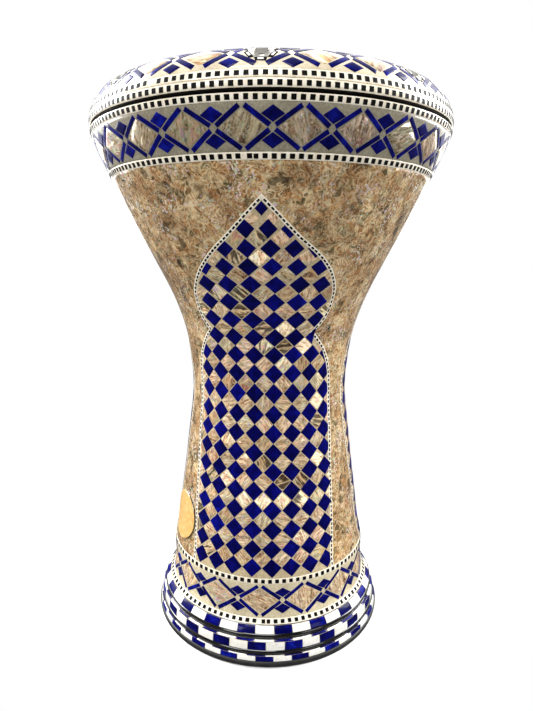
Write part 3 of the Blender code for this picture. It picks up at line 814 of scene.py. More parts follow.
# ------------------------------------------------------------ dotted strips
def dotted_strip(name, surf, span, count, phase, node=None, slipped=None, missing=None,
                 half_dot=1.52):
    """Cream strip of short lengths with a black square let into each. One square may be
    slipped sideways and one may be missing."""
    middle = sum(span) / 2
    r = surf.radius(middle)
    strip, squares = Piece(), Piece()
    section = layer_section(surf, span[0] + 0.1, span[1] - 0.1, top=0.16, bottom=-2.0,
                            edge=0.25, steps=4)
    lathe(strip, section, count * 2)
    # texture x counts lengths of strip, so joints fall between the squares
    u = strip.tex[0][:, 0] / max(p[0] for p in section) / TAU * count
    strip.tex[0][:, 0] = u - math.radians(phase) / TAU * count
    for i in range(count):
        if i == missing:
            continue
        azimuth = math.radians(phase) + TAU * i / count
        if i == slipped:
            azimuth += 1.6 / r
        shift = wobble(0.12)
        x = half_dot * rng.uniform(0.95, 1.06)
        y = half_dot * rng.uniform(0.96, 1.06)
        corners = [(-x, -y + shift), (x, -y + shift + wobble(0.08)),
                   (x, y + shift), (-x, y + shift + wobble(0.08))]
        tile(squares, chart(surf, azimuth, middle), corners,
             height=0.30, bevel=0.10, depth=0.2, seg=1.1)
    strip_ob = strip.build(name, IVORY)
    squares_ob = squares.build(name + "_squares", BLACK)
    attach(strip_ob, surf.owner, node)
    attach(squares_ob, surf.owner)


dotted_strip("strip_rim", shell, RIM_STRIP, 163, 0.4, "dot_strip_rim", missing=41)
dotted_strip("strip_shoulder", shell, SHOULDER_STRIP, 148, 0.1, "dot_strip_shoulder", slipped=147)
dotted_strip("strip_ankle", shell, ANKLE_STRIP, 97, 1.4, "dot_strip_ankle")
dotted_strip("strip_foot", shell, FOOT_STRIP, 100, 0.8, "dot_strip_foot", slipped=0)
dotted_strip("ring_strip_lower", ring, (ring.find(408.1), ring.find(413.05)), 161, 1.5,
             "ring_dot_strip_lower", missing=130)
dotted_strip("ring_strip_upper", ring, (ring.find(413.35), ring.find(418.2)), 162, 0.5,
             "ring_dot_strip_upper", missing=150)


# ----------------------------------------------------------- lozenge chains
def trim_to_bezels(corners, azimuth, r, middle):
    """Cut a piece of the ring's chain back from the bolts' frames; [] if little is left."""
    if np.mean(corners, 0)[1] < 0.5:
        return corners
    for bolt in BOLT_AZIMUTHS:
        dx = ((bolt - azimuth + math.pi) % TAU - math.pi) * r
        if abs(dx) > 45:
            continue
        centre = np.array([dx, BEZEL_S - middle])
        # keep the largest part that one side of a twelve-sided clearance leaves
        best, best_area = None, -1e9
        for i in range(12):
            normal = np.array([math.cos(TAU * i / 12), math.sin(TAU * i / 12)])
            reach = 10.0 if i % 2 else 10.4
            if min(float((np.array(p) - centre) @ normal) for p in corners) > reach:
                return corners
            kept = clip(corners, centre + normal * reach, normal)
            kept_area = abs(area(kept)) if len(kept) > 2 else 0.0
            if kept_area > best_area:
                best, best_area = kept, kept_area
        if best_area < 5.0:
            return []
        corners = best
    return corners


def chain(prefix, surf, start, end, count, phase, pearl_material, small, strip_width=2.9,
          small_gap=0.9, end_gap=1.7, bolted=False):
    """Blue strips crossing in a chain of lozenges, a pearl lozenge in each and small blue
    ones, of half sizes small, at the crossings. A bolted chain makes room for the bolts."""
    middle = (start + end) / 2
    rise = (end - start) / 2 - 0.7
    r = surf.radius(middle)
    run = TAU * r / count / 2
    slope = math.atan2(rise, run)
    length = math.hypot(rise, run)
    cos, sin = math.cos(slope), math.sin(slope)
    blue, pearl = Piece(), Piece()
    for k in range(count):
        azimuth = math.radians(phase) + TAU * k / count
        place = chart(surf, azimuth, middle)
        for side_x in (-1, 1):
            for side_y in (-1, 1):
                near = 2.1 + wobble(0.25)
                far = length - end_gap + rng.uniform(-0.3, 0.2)
                half = strip_width / 2 + wobble(0.08)
                skew = wobble(0.12)
                wide, narrow = half + skew, half - skew
                corners = [(near * cos + wide * sin, near * sin - wide * cos),
                           (far * cos + narrow * sin, far * sin - narrow * cos),
                           (far * cos - wide * sin, far * sin + wide * cos),
                           (near * cos - narrow * sin, near * sin + narrow * cos)]
                corners = [(x * side_x, y * side_y) for x, y in corners]
                if bolted:
                    corners = trim_to_bezels(corners, azimuth, r, middle)
                if len(corners) > 2:
                    tile(blue, place, corners, bevel=0.2, depth=0.3, seg=3.0)
        for side_y in (-1, 1):
            y = side_y * (strip_width / 2 / cos + small_gap + small[1])
            skew = wobble(0.35)
            corners = [(small[0] * rng.uniform(0.94, 1.05), y + skew), (0, y + small[1]),
                       (-small[0] * rng.uniform(0.94, 1.05), y + skew * 0.5), (0, y - small[1])]
            tile(blue, place, corners, bevel=0.2, depth=0.3)
        # pearl lozenge half way to the next crossing; every third place holds a bolt
        if not (bolted and k % 3 == 2):
            half_x = run - (strip_width / 2 + 0.75) / sin
            half_y = rise - (strip_width / 2 + 0.75) / cos
            half_x *= rng.uniform(0.95, 1.0)
            corners = [(half_x, wobble(0.4)), (wobble(0.5), half_y),
                       (-half_x, wobble(0.4)), (wobble(0.5), -half_y)]
            tile(pearl, chart(surf, azimuth + TAU / count / 2, middle), corners,
                 height=0.2, depth=0.3, seg=3.4)
    blue_ob = blue.build(prefix + "_blue", COBALT_PALE)
    pearl_ob = pearl.build(prefix + "_shell", pearl_material)
    for ob in (blue_ob, pearl_ob):
        attach(ob, surf.owner)


RING_CHAIN_COUNT = 3 * BOLTS
chain("upper_chain", shell, SHOULDER_STRIP[1], RIM_STRIP[0], 24, 4.5, PEARL_DARK,
      small=(6.9, 4.6))
chain("lower_chain", shell, FOOT_STRIP[1], ANKLE_STRIP[0], 15, 11.8, PEARL, small=(6.3, 4.2))
chain("ring_chain", ring, RING_BAND_START, 35.4, RING_CHAIN_COUNT,
      BOLT_PHASE + 360 / RING_CHAIN_COUNT / 2, PEARL_CREAM, small=(6.1, 3.7), strip_width=3.3,
      small_gap=2.4, end_gap=3.7, bolted=True)
dotted_strip("ring_strip_inner", ring, (40.9, 44.1), 150, 0.0, half_dot=0.95)

# -------------------------------------------------------------- arch panels
# Edge of an arch: (height, half angle in degrees)
ARCH = np.array([
    (66.0, 43.0), (72.0, 43.2), (93.0, 45.6), (112.0, 46.6), (134.0, 48.0), (156.0, 49.3),
    (180.0, 51.0), (199.5, 51.8), (213.0, 51.6), (225.0, 50.2), (235.5, 47.6), (246.0, 43.0),
    (254.0, 37.6), (260.0, 33.0), (265.5, 36.2), (271.0, 38.2), (278.0, 39.2), (287.5, 38.4),
    (296.5, 35.5), (305.0, 31.3), (312.5, 26.6), (320.0, 21.2), (329.0, 14.2), (338.0, 8.6),
    (346.0, 4.2), (353.8, 0.0)])
CUSP_Z = 260.0              # the edge turns sharply here
# How far the middle of each arch strays from true: (height, degrees)
LEAN = np.array([
    (66.0, 0.0), (120.0, -0.4), (150.0, -0.7), (213.0, -0.8), (235.0, -1.5), (246.0, -1.9),
    (257.0, -2.3), (262.0, -1.5), (270.0, -0.8), (278.0, -0.2), (288.0, 0.3), (297.0, 1.1),
    (312.0, 1.7), (329.0, 1.2), (354.0, 1.3)])
BORDER = 3.1                # width of the border strip
# Rows of blue tiles
ROW_HEIGHTS = (74.6, 89.0, 104.3, 119.8, 135.0, 150.0, 165.0, 180.0, 195.0, 211.5, 227.3, 242.0,
               256.0, 269.5, 282.8, 295.8, 308.2, 320.5, 333.0, 345.2)
# (height, distance between columns of tiles)
COLUMN_PITCH = [
    (70, 15.7), (110, 15.3), (150, 15.0), (182, 14.75), (212, 14.4), (230, 14.5), (244, 14.9),
    (257, 15.5), (270, 16.2), (284, 16.7), (297, 17.1), (309, 16.9), (321, 16.0), (333, 14.6),
    (346, 13.0)]
# (height, sideways shift of a row)
ROW_SHIFT = [(240, 1.0), (256, 1.0), (284, 0.6), (296, 1.5), (308, 0.0), (320, -0.7), (333, -1.4)]
# (height, width of blue tiles as a share of the pitch)
BLUE_TAPER = [(262, 1.0), (284, 0.95), (306, 0.87)]
SMALLEST_TILE = 9           # clipped tiles below this area are left out, mm2


def lookup(table, z):
    return float(np.interp(z, *zip(*table)))


def smooth_curve(x, y, q):
    """Monotone cubic through stations, evaluated at q."""
    h = np.diff(x)
    d = np.diff(y) / h
    slope = np.zeros(len(x))
    slope[0], slope[-1] = d[0], d[-1]
    for i in range(1, len(x) - 1):
        if d[i - 1] * d[i] > 0:
            w1, w2 = 2 * h[i] + h[i - 1], h[i] + 2 * h[i - 1]
            slope[i] = (w1 + w2) / (w1 / d[i - 1] + w2 / d[i])
    q = np.asarray(q, float)
    k = np.clip(np.searchsorted(x, q) - 1, 0, len(x) - 2)
    t = (q - x[k]) / h[k]
    return ((2 * t ** 3 - 3 * t ** 2 + 1) * y[k] + (t ** 3 - 2 * t ** 2 + t) * h[k] * slope[k]
            + (-2 * t ** 3 + 3 * t ** 2) * y[k + 1] + (t ** 3 - t ** 2) * h[k] * slope[k + 1])


def half_angle(z):
    """Half angle of the arch, smooth on either side of the cusp."""
    heights, angles = ARCH[:, 0], np.radians(ARCH[:, 1])
    cusp = int(np.argmin(abs(heights - CUSP_Z)))
    below = smooth_curve(heights[:cusp + 1], angles[:cusp + 1], np.minimum(z, CUSP_Z))
    above = smooth_curve(heights[cusp:], angles[cusp:], np.clip(z, CUSP_Z, heights[-1]))
    return np.where(z <= CUSP_Z, below, above)


def lean(s):
    """How far the arch's middle line strays at distance s, in radians."""
    return np.radians(smooth_curve(LEAN[:, 0], LEAN[:, 1], shell.height(s)))


ARCH_START = ANKLE_STRIP[1] + 0.1
CUSP_S = shell.find(CUSP_Z)
arch_rows = np.concatenate([np.linspace(ARCH_START, CUSP_S, 64),
                            np.linspace(CUSP_S, shell.find(ARCH[-1, 0]), 52)[1:]])
# right side of the arch as (azimuth, distance), bottom to tip
arch_edge = np.stack([half_angle(shell.height(arch_rows)), arch_rows], 1)


def inset_edge(distance):
    """The arch's right side moved inwards, corners mitred."""
    out = []
    last = len(arch_edge) - 1
    for i, (azimuth, s) in enumerate(arch_edge):
        r = shell.radius(s)
        q = np.array([azimuth * r, s])
        before, after = q - (0, 1), None
        if i:
            before = arch_edge[i - 1] * (r, 1)
        # past the tip the edge comes back down the other side
        after = arch_edge[i + 1] * (r, 1) if i < last else arch_edge[i - 1] * (-r, 1)
        e1 = (q - before) / np.linalg.norm(q - before)
        e2 = (after - q) / np.linalg.norm(after - q)
        n1, n2 = np.array([-e1[1], e1[0]]), np.array([-e2[1], e2[0]])
        mitre = (n1 + n2) / np.linalg.norm(n1 + n2)
        w = q + mitre * (distance / max(float(mitre @ n1), 0.4))
        out.append((max(w[0], 0.0) / r, w[1]))
    out[0] = (out[0][0], ARCH_START)
    return np.array(out)


inner_edge = inset_edge(BORDER)
middle_edge = inset_edge(BORDER / 2)
clip_edge = inset_edge(BORDER - 0.2)


def half_at(edge, s):
    """Half angle of an edge at distance s, 0 above its tip."""
    order = np.argsort(edge[:, 1])
    return float(np.interp(s, edge[order, 1], edge[order, 0], right=0.0))


def panel_ground(turn):
    """A thin raised sheet that reaches under the border."""
    rows = arch_rows[arch_rows < middle_edge[:, 1].max()]
    cols = 28
    top, bottom, tex = [], [], []
    for s in rows:
        half = half_at(middle_edge, s)
        azimuth = np.linspace(-half, half, cols + 1) + lean(s)
        along = np.full(cols + 1, s)
        top.append(shell.at(azimuth + turn, along, 0.06))
        bottom.append(shell.at(azimuth + turn, along, -0.3))
        tex.append(np.stack([azimuth * shell.radius(s), along, 0 * azimuth], 1))
    n, m = cols + 1, len(rows)
    under = m * n
    faces = []
    for j in range(m - 1):
        for i in range(cols):
            a = j * n + i
            b = a + under
            faces += [(a, a + 1, a + 1 + n, a + n), (b + n, b + n + 1, b + 1, b)]
    for j in range(m - 1):
        a = j * n
        faces.append((a + n, a + n + under, a + under, a))
        a += cols
        faces.append((a, a + under, a + n + under, a + n))
    for i in range(cols):
        faces.append((i, i + under, i + 1 + under, i + 1))
        a = (m - 1) * n + i
        faces.append((a + 1, a + 1 + under, a + under, a))
    piece = Piece()
    piece.add(np.concatenate(top + bottom), faces, np.concatenate(tex + tex))
    return piece


def panel_border(turn):
    """Strip swept up one side, over the tip and down the other."""
    # (share of the width, height)
    profile = [(0.0, -0.25), (0.0, 0.10), (0.08, 0.19), (0.5, 0.21), (0.92, 0.19), (1.0, 0.10),
               (1.0, -0.25)]
    piece_length = 9.3      # texture x steps by one at each joint
    mean_radius = 75        # turns azimuth into rough length for the texture

    def whole(edge):
        return np.concatenate([edge, edge[::-1][1:] * (-1, 1)])

    outer, inner = whole(inset_edge(0.05)), whole(inset_edge(BORDER - 0.05))
    steps = [math.hypot((b[0] - a[0]) * mean_radius, b[1] - a[1])
             for a, b in zip(outer, outer[1:])]
    length = np.concatenate([[0], np.cumsum(steps)])
    verts, tex = [], []
    for share, height in profile:
        q = outer + (inner - outer) * share
        verts.append(shell.at(q[:, 0] + lean(q[:, 1]) + turn, q[:, 1], height))
        tex.append(np.stack([length / piece_length, 0 * length + share, 0 * length], 1))
    n, m = len(outer), len(profile)
    faces = [f[::-1] for f in grid_faces(m, n, wrap_rows=True, wrap_cols=False)]
    faces.append(tuple(j * n for j in range(m))[::-1])
    faces.append(tuple(j * n + n - 1 for j in range(m)))
    piece = Piece()
    piece.add(np.concatenate(verts), faces, np.concatenate(tex))
    return piece


def panel_dashes(turn):
    """Small black oblongs along the middle of the border."""
    azimuths, distances = middle_edge.T
    r = np.array([shell.radius(s) for s in distances])
    steps = np.hypot(np.diff(azimuths) * (r[:-1] + r[1:]) / 2, np.diff(distances))
    travelled = np.concatenate([[0], np.cumsum(steps)])
    piece = Piece()
    for side in (1, -1):

        def point(along):
            s = float(np.interp(along, travelled, distances))
            return float(np.interp(along, travelled, azimuths) * side + lean(s)), s

        along = 1.9
        while along < travelled[-1] - 1.2:
            azimuth, s = point(along)
            (a2, s2), (a1, s1) = point(along + 0.6), point(along - 0.6)
            tangent = np.array([(a2 - a1) * shell.radius(s), s2 - s1])
            tangent /= np.linalg.norm(tangent)
            normal = np.array([-tangent[1], tangent[0]])
            half_length = 1.22 + wobble(0.1)
            half_width = 0.72 + wobble(0.05)
            corners = [tangent * x * half_length + normal * y * half_width
                       for x, y in ((-1, -1), (1, -1), (1, 1), (-1, 1))]
            tile(piece, chart(shell, azimuth + turn, s), corners,
                 height=0.28, bevel=0.10, depth=0.2, seg=9.0)
            along += 3.6
    return piece


def inside_convex(loop, point, grow):
    p = np.array(loop)
    if area(p) < 0:
        p = p[::-1]
    e = np.roll(p, -1, 0) - p
    w = point - p
    length = np.linalg.norm(e, axis=1) + 1e-9
    return bool(np.all((e[:, 0] * w[:, 1] - e[:, 1] * w[:, 0]) / length > -grow))


def clip_to_arch(corners, azimuth, s):
    """Cut a tile, in millimetres round (azimuth, s), where the border crosses it."""
    r = shell.radius(s)
    for side in (1, -1):
        if side * (azimuth - float(lean(s))) < -0.05:
            continue
        x = (clip_edge[:, 0] * side + lean(clip_edge[:, 1]) - azimuth) * r
        line = np.stack([x, clip_edge[:, 1] - s], 1)
        near = np.where(np.hypot(line[:, 0], line[:, 1]) < 13)[0]
        if len(near) < 2:
            continue
        for j in range(near[0], near[-1], 3):
            p, q = line[j], line[min(j + 3, len(line) - 1)]
            e = q - p
            length = np.linalg.norm(e)
            # only where this stretch of the border runs through the tile
            if length < 1e-6 or not inside_convex(corners, (p + q) / 2, grow=1.0):
                continue
            corners = clip(corners, p, np.array([-e[1], e[0]]) / length * side)
            if len(corners) < 3:
                return []
    return corners


def lay_lozenge(piece, turn, x, s, half_x, half_y, skew, height, bevel, cut=True):
    azimuth = x / shell.radius(s)
    corners = [(half_x, skew), (-skew, half_y), (-half_x, -skew), (skew, -half_y)]
    if cut:
        corners = clip_to_arch(corners, azimuth, s)
    if len(corners) >= 3 and abs(area(corners)) > SMALLEST_TILE:
        tile(piece, chart(shell, turn + azimuth, s), corners, height, bevel, depth=0.3, seg=3.4)


def row_frame(s):
    """Height, column pitch, half width and middle of the panel at distance s."""
    z = float(shell.height(s))
    r = shell.radius(s)
    return z, lookup(COLUMN_PITCH, z), half_at(inner_edge, s) * r, float(lean(s)) * r


def fill_panel(turn):
    """Blue and pearl lozenges in a checker; the top rows are placed singly."""
    blue, pearl = Piece(), Piece()
    rows = [shell.find(z) for z in ROW_HEIGHTS]
    last = len(rows) - 1
    for j, s in enumerate(rows):
        z, pitch, wide, middle = row_frame(s)
        up = (rows[j + 1] - s) if j < last else 12.6
        down = (s - rows[j - 1]) if j else up
        if j < last:
            half_x = pitch / 2 * lookup(BLUE_TAPER, z) + 0.05
            half_y = (up + down) / 4 + 0.22
            places = [lookup(ROW_SHIFT, z) + (i + 0.5) * pitch for i in range(-5, 5)]
        else:
            half_x, half_y, places = 4.3, 5.1, [2.4]
        for x in places:
            if abs(x - middle) > wide + 5.5:
                continue
            tile_x = half_x * rng.uniform(0.965, 1.0)
            tile_y = half_y * rng.uniform(0.965, 1.0)
            x += wobble(0.3)
            lay_lozenge(blue, turn, x, s, tile_x, tile_y, skew=wobble(0.25),
                        height=0.24, bevel=0.26, cut=j < last)
        if j == last:
            break
        # pearl tiles sit half a pitch up and across
        s_between = (s + rows[j + 1]) / 2
        z, pitch, wide, middle = row_frame(s_between)
        if j < last - 1:
            half_x, half_y = pitch / 2 - 0.66, up / 2 - 0.62
            places = [lookup(ROW_SHIFT, z) + i * pitch for i in range(-4, 5)]
            overhang = 3.2
        else:
            half_x, half_y, places, overhang = 5.0, 5.0, [-4.6, 9.4], -1.0
        for x in places:
            if abs(x - middle) > wide + overhang:
                continue
            tile_x = half_x * rng.uniform(0.93, 1.0)
            tile_y = half_y * rng.uniform(0.93, 1.0)
            lay_lozenge(pearl, turn, x, s_between, tile_x, tile_y, skew=wobble(0.4),
                        height=0.2, bevel=0.24)
    return blue, pearl


def arch_panel(side, turn):
    blue, pearl = fill_panel(turn)
    dashes = panel_dashes(turn)
    # name ending, piece, material, slot, CAD node
    parts = [("ground", panel_ground(turn), GROUT, "checker_inlay", "arch_panel_" + side),
             ("border", panel_border(turn), IVORY, "ivory_strip", "arch_border_" + side),
             ("blue_tiles", blue, COBALT, "checker_inlay", None),
             ("shell_tiles", pearl, PEARL, "checker_inlay", None),
             ("dashes", dashes, BLACK, "ivory_strip", None)]
    for ending, piece, material, slot, node in parts:
        attach(piece.build("panel_%s_%s" % (side, ending), material), "shell", node)


for k, side in enumerate(("front", "right", "left")):
    arch_panel(side, TAU / 3 * k)


# --------------------------------------------------------------------- foot
def foot_row(name, node, *courses):
    """Rings of blue and white tiles: a wide one and perhaps a thin one on the ledge above.
    Courses are (outline, pairs of tiles, azimuth of the first in degrees)."""
    ground, blue, white = Piece(), Piece(), Piece()
    for course, (line, pairs, phase) in enumerate(courses):
        surf = Surface(line, "shell")
        lathe(ground, layer_section(surf, 0.0, surf.length, top=-0.12, bottom=-1.4, edge=0.1,
                                    steps=4), seg=192)
        height, bevel, seg = (0.05, 0.15, 2.4) if course else (0.10, 0.35, 1.7)
        middle = surf.length / 2
        r = surf.radius(middle)
        x = TAU * r / (4 * pairs) - 0.16
        y = surf.length / 2 - 0.04
        for i in range(2 * pairs):
            azimuth = math.radians(phase) + TAU * i / (2 * pairs)
            skew = wobble(0.25)
            corners = [(-x + skew, -y), (x + skew * 0.5, -y), (x - skew * 0.5, y), (-x - skew, y)]
            tile(white if i % 2 else blue, chart(surf, azimuth, middle), corners,
                 height, bevel, depth=0.9, seg=seg)
    obs = [ground.build(name + "_ground", GROUT_FOOT), blue.build(name + "_blue", COBALT_PALE),
           white.build(name + "_white", WHITE)]
    for ob, replaced in zip(obs, (node, None, None)):
        attach(ob, "shell", replaced)


foot_row("foot_row_1", "foot_tile_ring_1", (FOOT_LINE_1, 20, -6.4))
foot_row("foot_row_2", "foot_tile_ring_2", (FOOT_LINE_2, 21, -1.0), (LEDGE_LINE_2, 20, -6.6))
foot_row("foot_row_3", "foot_tile_ring_3", (FOOT_LINE_3, 22, 2.6), (LEDGE_LINE_3, 21, -1.2))

turned("bead_upper", arc((93.9, 22.95), 2.0, 58, -58, 8) + [(92.9, 21.2), (92.9, 24.2)],
       BEAD, "shell", "foot_bead_1")
turned("bead_lower", arc((97.2, 11.25), 1.9, 60, -60, 8) + [(95.8, 9.6), (95.8, 12.9)],
       BEAD, "shell", "foot_bead_2")
turned("base_rim",
       [(90.2, 4.9), (99.6, 4.9)] + arc((99.4, 2.9), 2.15, 68, -10, 8)
       + arc((100.0, 1.35), 1.35, -4, -84, 6) + [(99.0, 0.0), (91.0, 0.0)]
       + arc((90.6, 1.0), 1.0, -90, -180, 4) + [(89.6, 4.2)],
       RUBBER, "shell", "base_rubber_rim")


# -------------------------------------------------------------- tuning ring
def cut_with(ob, cutter_piece):
    """Take a cutter out of a piece and keep the result as its mesh."""
    cutter = cutter_piece.build("drill_tool", smooth=False)
    modifier = ob.modifiers.new("drill", "BOOLEAN")
    modifier.operation = "DIFFERENCE"
    modifier.solver = "EXACT"
    modifier.object = cutter
    depsgraph = bpy.context.evaluated_depsgraph_get()
    mesh = bpy.data.meshes.new_from_object(
        ob.evaluated_get(depsgraph), preserve_all_data_layers=True, depsgraph=depsgraph)
    ob.modifiers.clear()
    old = ob.data
    ob.data = mesh
    bpy.data.meshes.remove(old)
    bpy.data.objects.remove(cutter, do_unlink=True)
    ob.data.set_sharp_from_angle(angle=math.radians(35))


def add_prism(piece, low, high):
    """Closed prism between two loops, in metres."""
    n = len(low)
    caps = [tuple(range(n))[::-1], tuple(range(n, 2 * n))]
    piece.add(np.concatenate([low, high]), grid_faces(2, n) + caps)


def drill_bolt_holes(ob, radius, z0, z1, sides=48):
    cutter = Piece()
    for centre in BOLT_CENTRES:
        add_prism(cutter, circle_points(centre, radius, z0, sides) * MM,
                  circle_points(centre, radius, z1, sides) * MM)
    cut_with(ob, cutter)


def ring_casting():
    section = [(137.6, 409.9), (138.2, 408.5), (137.6, 407.65), (136.0, 407.4), (116.6, 407.4),
               (116.2, 407.8), (116.2, 416.2), (111.9, 416.2), (111.5, 416.7), (111.5, 430.4)]
    section += arc((112.6, 431.2), 1.15, 180, 70, 6)
    section += [ring.profile(s, -2.6) for s in np.linspace(ring.length - 1.6, ring.find(411.0), 22)]
    piece = Piece()
    lathe(piece, section[::-1])
    ob = piece.build("ring_casting", ALUMINIUM_RING)
    drill_bolt_holes(ob, 5.2, 419.4, 440.0)
    drill_bolt_holes(ob, 2.9, 400.0, 424.5, sides=24)
    attach(ob, "tuning_ring", "tuning_ring_casting")


def open_ring_ground():
    """Hexagonal openings in the mosaic's ground over the bolts."""
    corner = 6.6 / math.cos(math.pi / 6)
    hexagon = [(corner * math.cos(TAU * i / 6), corner * math.sin(TAU * i / 6)) for i in range(6)]
    x, y = split_edges(hexagon, 2.0).T
    cutter = Piece()
    for azimuth in BOLT_AZIMUTHS:
        place = true_chart(ring, azimuth, BEZEL_S)
        add_prism(cutter, place(x, y, -4.0), place(x, y, 3.0))
    cut_with(ring_ground, cutter)


ring_casting()
open_ring_ground()


def bezel_frame(place):
    """Hexagonal frame of six black wedges, each with a white oblong."""
    inner, outer = 6.7, 9.5                 # half widths of the hexagon
    half_inner, half_outer = 3.76, 3.15     # half lengths of a wedge's long sides
    oblong_width, oblong_length = 0.72, 1.8     # halves
    middle = (inner + outer) / 2
    black, white = Piece(), Piece()
    for i in range(6):
        angle = TAU * (i + 0.5) / 6
        out = np.array([math.cos(angle), math.sin(angle)])
        side = np.array([-out[1], out[0]])
        tile(black, place,
             [out * inner + side * half_inner, out * inner - side * half_inner,
              out * outer - side * half_outer, out * outer + side * half_outer],
             height=0.24, bevel=0.16, depth=0.8, seg=1.6)
        low, high = out * (middle - oblong_width), out * (middle + oblong_width)
        along = side * oblong_length
        tile(white, place, [low + along, low - along, high - along, high + along],
             height=0.31, bevel=0.1, depth=0.2, seg=3.0)
    return black, white


def bezel_recess(place, azimuth, centre):
    """Polished recess: six-sided mouth, round well and seat."""
    n = 60
    angles = np.arange(n) / n * TAU
    hexagon = hex_factor(angles)
    cos_a, sin_a = math.cos(azimuth), math.sin(azimuth)

    def mouth(half_width, d):
        return place(half_width * hexagon * np.cos(angles),
                     half_width * hexagon * np.sin(angles), d)

    def well(radius, z=None, d=None):
        """A round loop at height z, or at d from the ring's surface measured upright."""
        x = centre[0] + radius * (np.cos(angles) * cos_a - np.sin(angles) * sin_a)
        y = centre[1] + radius * (np.cos(angles) * sin_a + np.sin(angles) * cos_a)
        if z is None:
            r = np.hypot(x, y)
            top = int(np.argmax(ring.z))
            outside = np.interp(r, ring.r[top::-1], ring.z[top::-1])
            inside = np.interp(r, ring.r[:top - 1:-1], ring.z[:top - 1:-1])
            z = np.where(r > ring.r[top], outside, inside) + d
        return np.stack([x, y, z + 0 * x], 1) * MM

    rows = [mouth(6.66, -0.8), mouth(6.66, 0.14), mouth(6.56, 0.2), mouth(6.4, 0.16),
            mouth(6.28, -0.1), mouth(6.16, -1.9), mouth(5.9, -2.3),
            well(5.3, d=-2.8), well(4.98, d=-3.2), well(4.92, z=420.0), well(4.8, z=419.75),
            well(2.85, z=419.75), well(2.85, z=419.2), well(5.14, z=419.2), well(5.16, d=-3.9),
            mouth(6.6, -3.2)]
    piece = Piece()
    piece.add(np.concatenate(rows), grid_faces(len(rows), n, wrap_rows=True))
    return piece


for k, (azimuth, centre) in enumerate(zip(BOLT_AZIMUTHS, BOLT_CENTRES), 1):
    place = true_chart(ring, azimuth, BEZEL_S)
    black, white = bezel_frame(place)
    recess = bezel_recess(place, azimuth, centre)
    for ending, piece, material, node in (("black", black, BLACK, "bolt_bezel_%d" % k),
                                          ("white", white, WHITE, None),
                                          ("recess", recess, RECESS, None)):
        attach(piece.build("bezel_%d_%s" % (k, ending), material), "tuning_ring",
               node)


# ------------------------------------------------------------------- bolts
def make_bolt(number, centre):
    """Socket cap bolt: rounded head, hexagon socket, shank with a thread cut as rings."""
    n = 48
    socket = 2.0 * hex_factor(np.arange(n) / n * TAU)
    thread_top, thread_pitch, thread_turns = 419.2, 0.8, 26
    # (radius, height): socket from its floor up, then head, thread and tip
    section = [(socket * 0.02, 423.1), (socket, 423.1), (socket, 425.75), (socket * 1.06, 425.98),
               (2.9, 426.1), (3.7, 426.1), (4.02, 426.0), (4.2, 425.78), (4.25, 425.45),
               (4.25, 421.5), (4.1, 421.15), (2.5, 421.12)]
    for i in range(thread_turns):
        z = thread_top - thread_pitch * i
        section += [(2.5, z), (2.26, z - thread_pitch / 2)]
    section += [(2.45, 398.3), (1.9, 397.6), (0.02, 397.55)]
    rows = [circle_points(centre, r, z, n) for r, z in section]
    last = (len(rows) - 1) * n
    faces = [f[::-1] for f in grid_faces(len(rows), n)]
    faces += [tuple(range(n)), tuple(last + i for i in range(n))[::-1]]
    piece = Piece()
    piece.add(np.concatenate(rows) * MM, faces)
    node = "tuning_bolt_%d" % number
    attach(piece.build("bolt_%d" % number, STEEL, sharp=30), node, node)


def make_washer(number, centre):
    section = [(2.85, 420.8), (4.55, 420.8), (4.7, 420.65), (4.7, 419.95), (4.55, 419.82),
               (2.85, 419.82)]
    rows = [circle_points(centre, r, z) * MM for r, z in section]
    piece = Piece()
    piece.add(np.concatenate(rows), turned_faces(len(rows), len(rows[0])))
    attach(piece.build("washer_ring_%d" % number, STEEL), "tuning_ring",
           "washer_%d" % number)


for k, centre in enumerate(BOLT_CENTRES, 1):
    make_bolt(k, centre)
    make_washer(k, centre)
    paint("thread_insert_%d" % k, BRASS)


# ------------------------------------------------------------- head and hoop
def drum_head():
    top = [(110.45, 410.4), (110.5, 426.6)] + arc((107.4, 427.75), 3.05, 8, 90, 10)
    top += [(104.0, 430.86), (90.0, 430.88), (60.0, 430.89), (30.0, 430.9), (0.02, 430.9)]
    under = [(0.02, 430.6), (30.0, 430.6), (60.0, 430.6), (90.0, 430.6), (104.0, 430.58)]
    under += arc((107.4, 427.75), 2.72, 90, 8, 10) + [(110.15, 426.6), (110.1, 410.4)]
    piece = Piece()
    lathe(piece, (top + under)[::-1])
    ob = piece.build("drum_head", FILM)
    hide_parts("head_film")
    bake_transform(ob)


drum_head()
turned("hoop",
       [(114.9, 415.75), (115.7, 414.9), (115.7, 410.7), (114.9, 409.8), (111.5, 409.8),
        (110.8, 410.4), (110.8, 415.1), (111.4, 415.75)],
       ALUMINIUM_RING, "tuning_ring", "flesh_hoop")
# Lower lip of the ring made flat black: painted shade for the shadow that falls in the gap under
# the ring.
turned("ring_lower_lip",
       [(139.15, 408.2), (138.75, 407.75), (138.1, 407.4), (137.0, 407.2), (131.6, 407.2),
        (131.6, 407.8), (137.4, 407.9), (138.0, 409.4)],
       make_black("lip_painted_shade", rough=0.5, coat=0.0), "tuning_ring")
paint("shell_casting", ALUMINIUM)


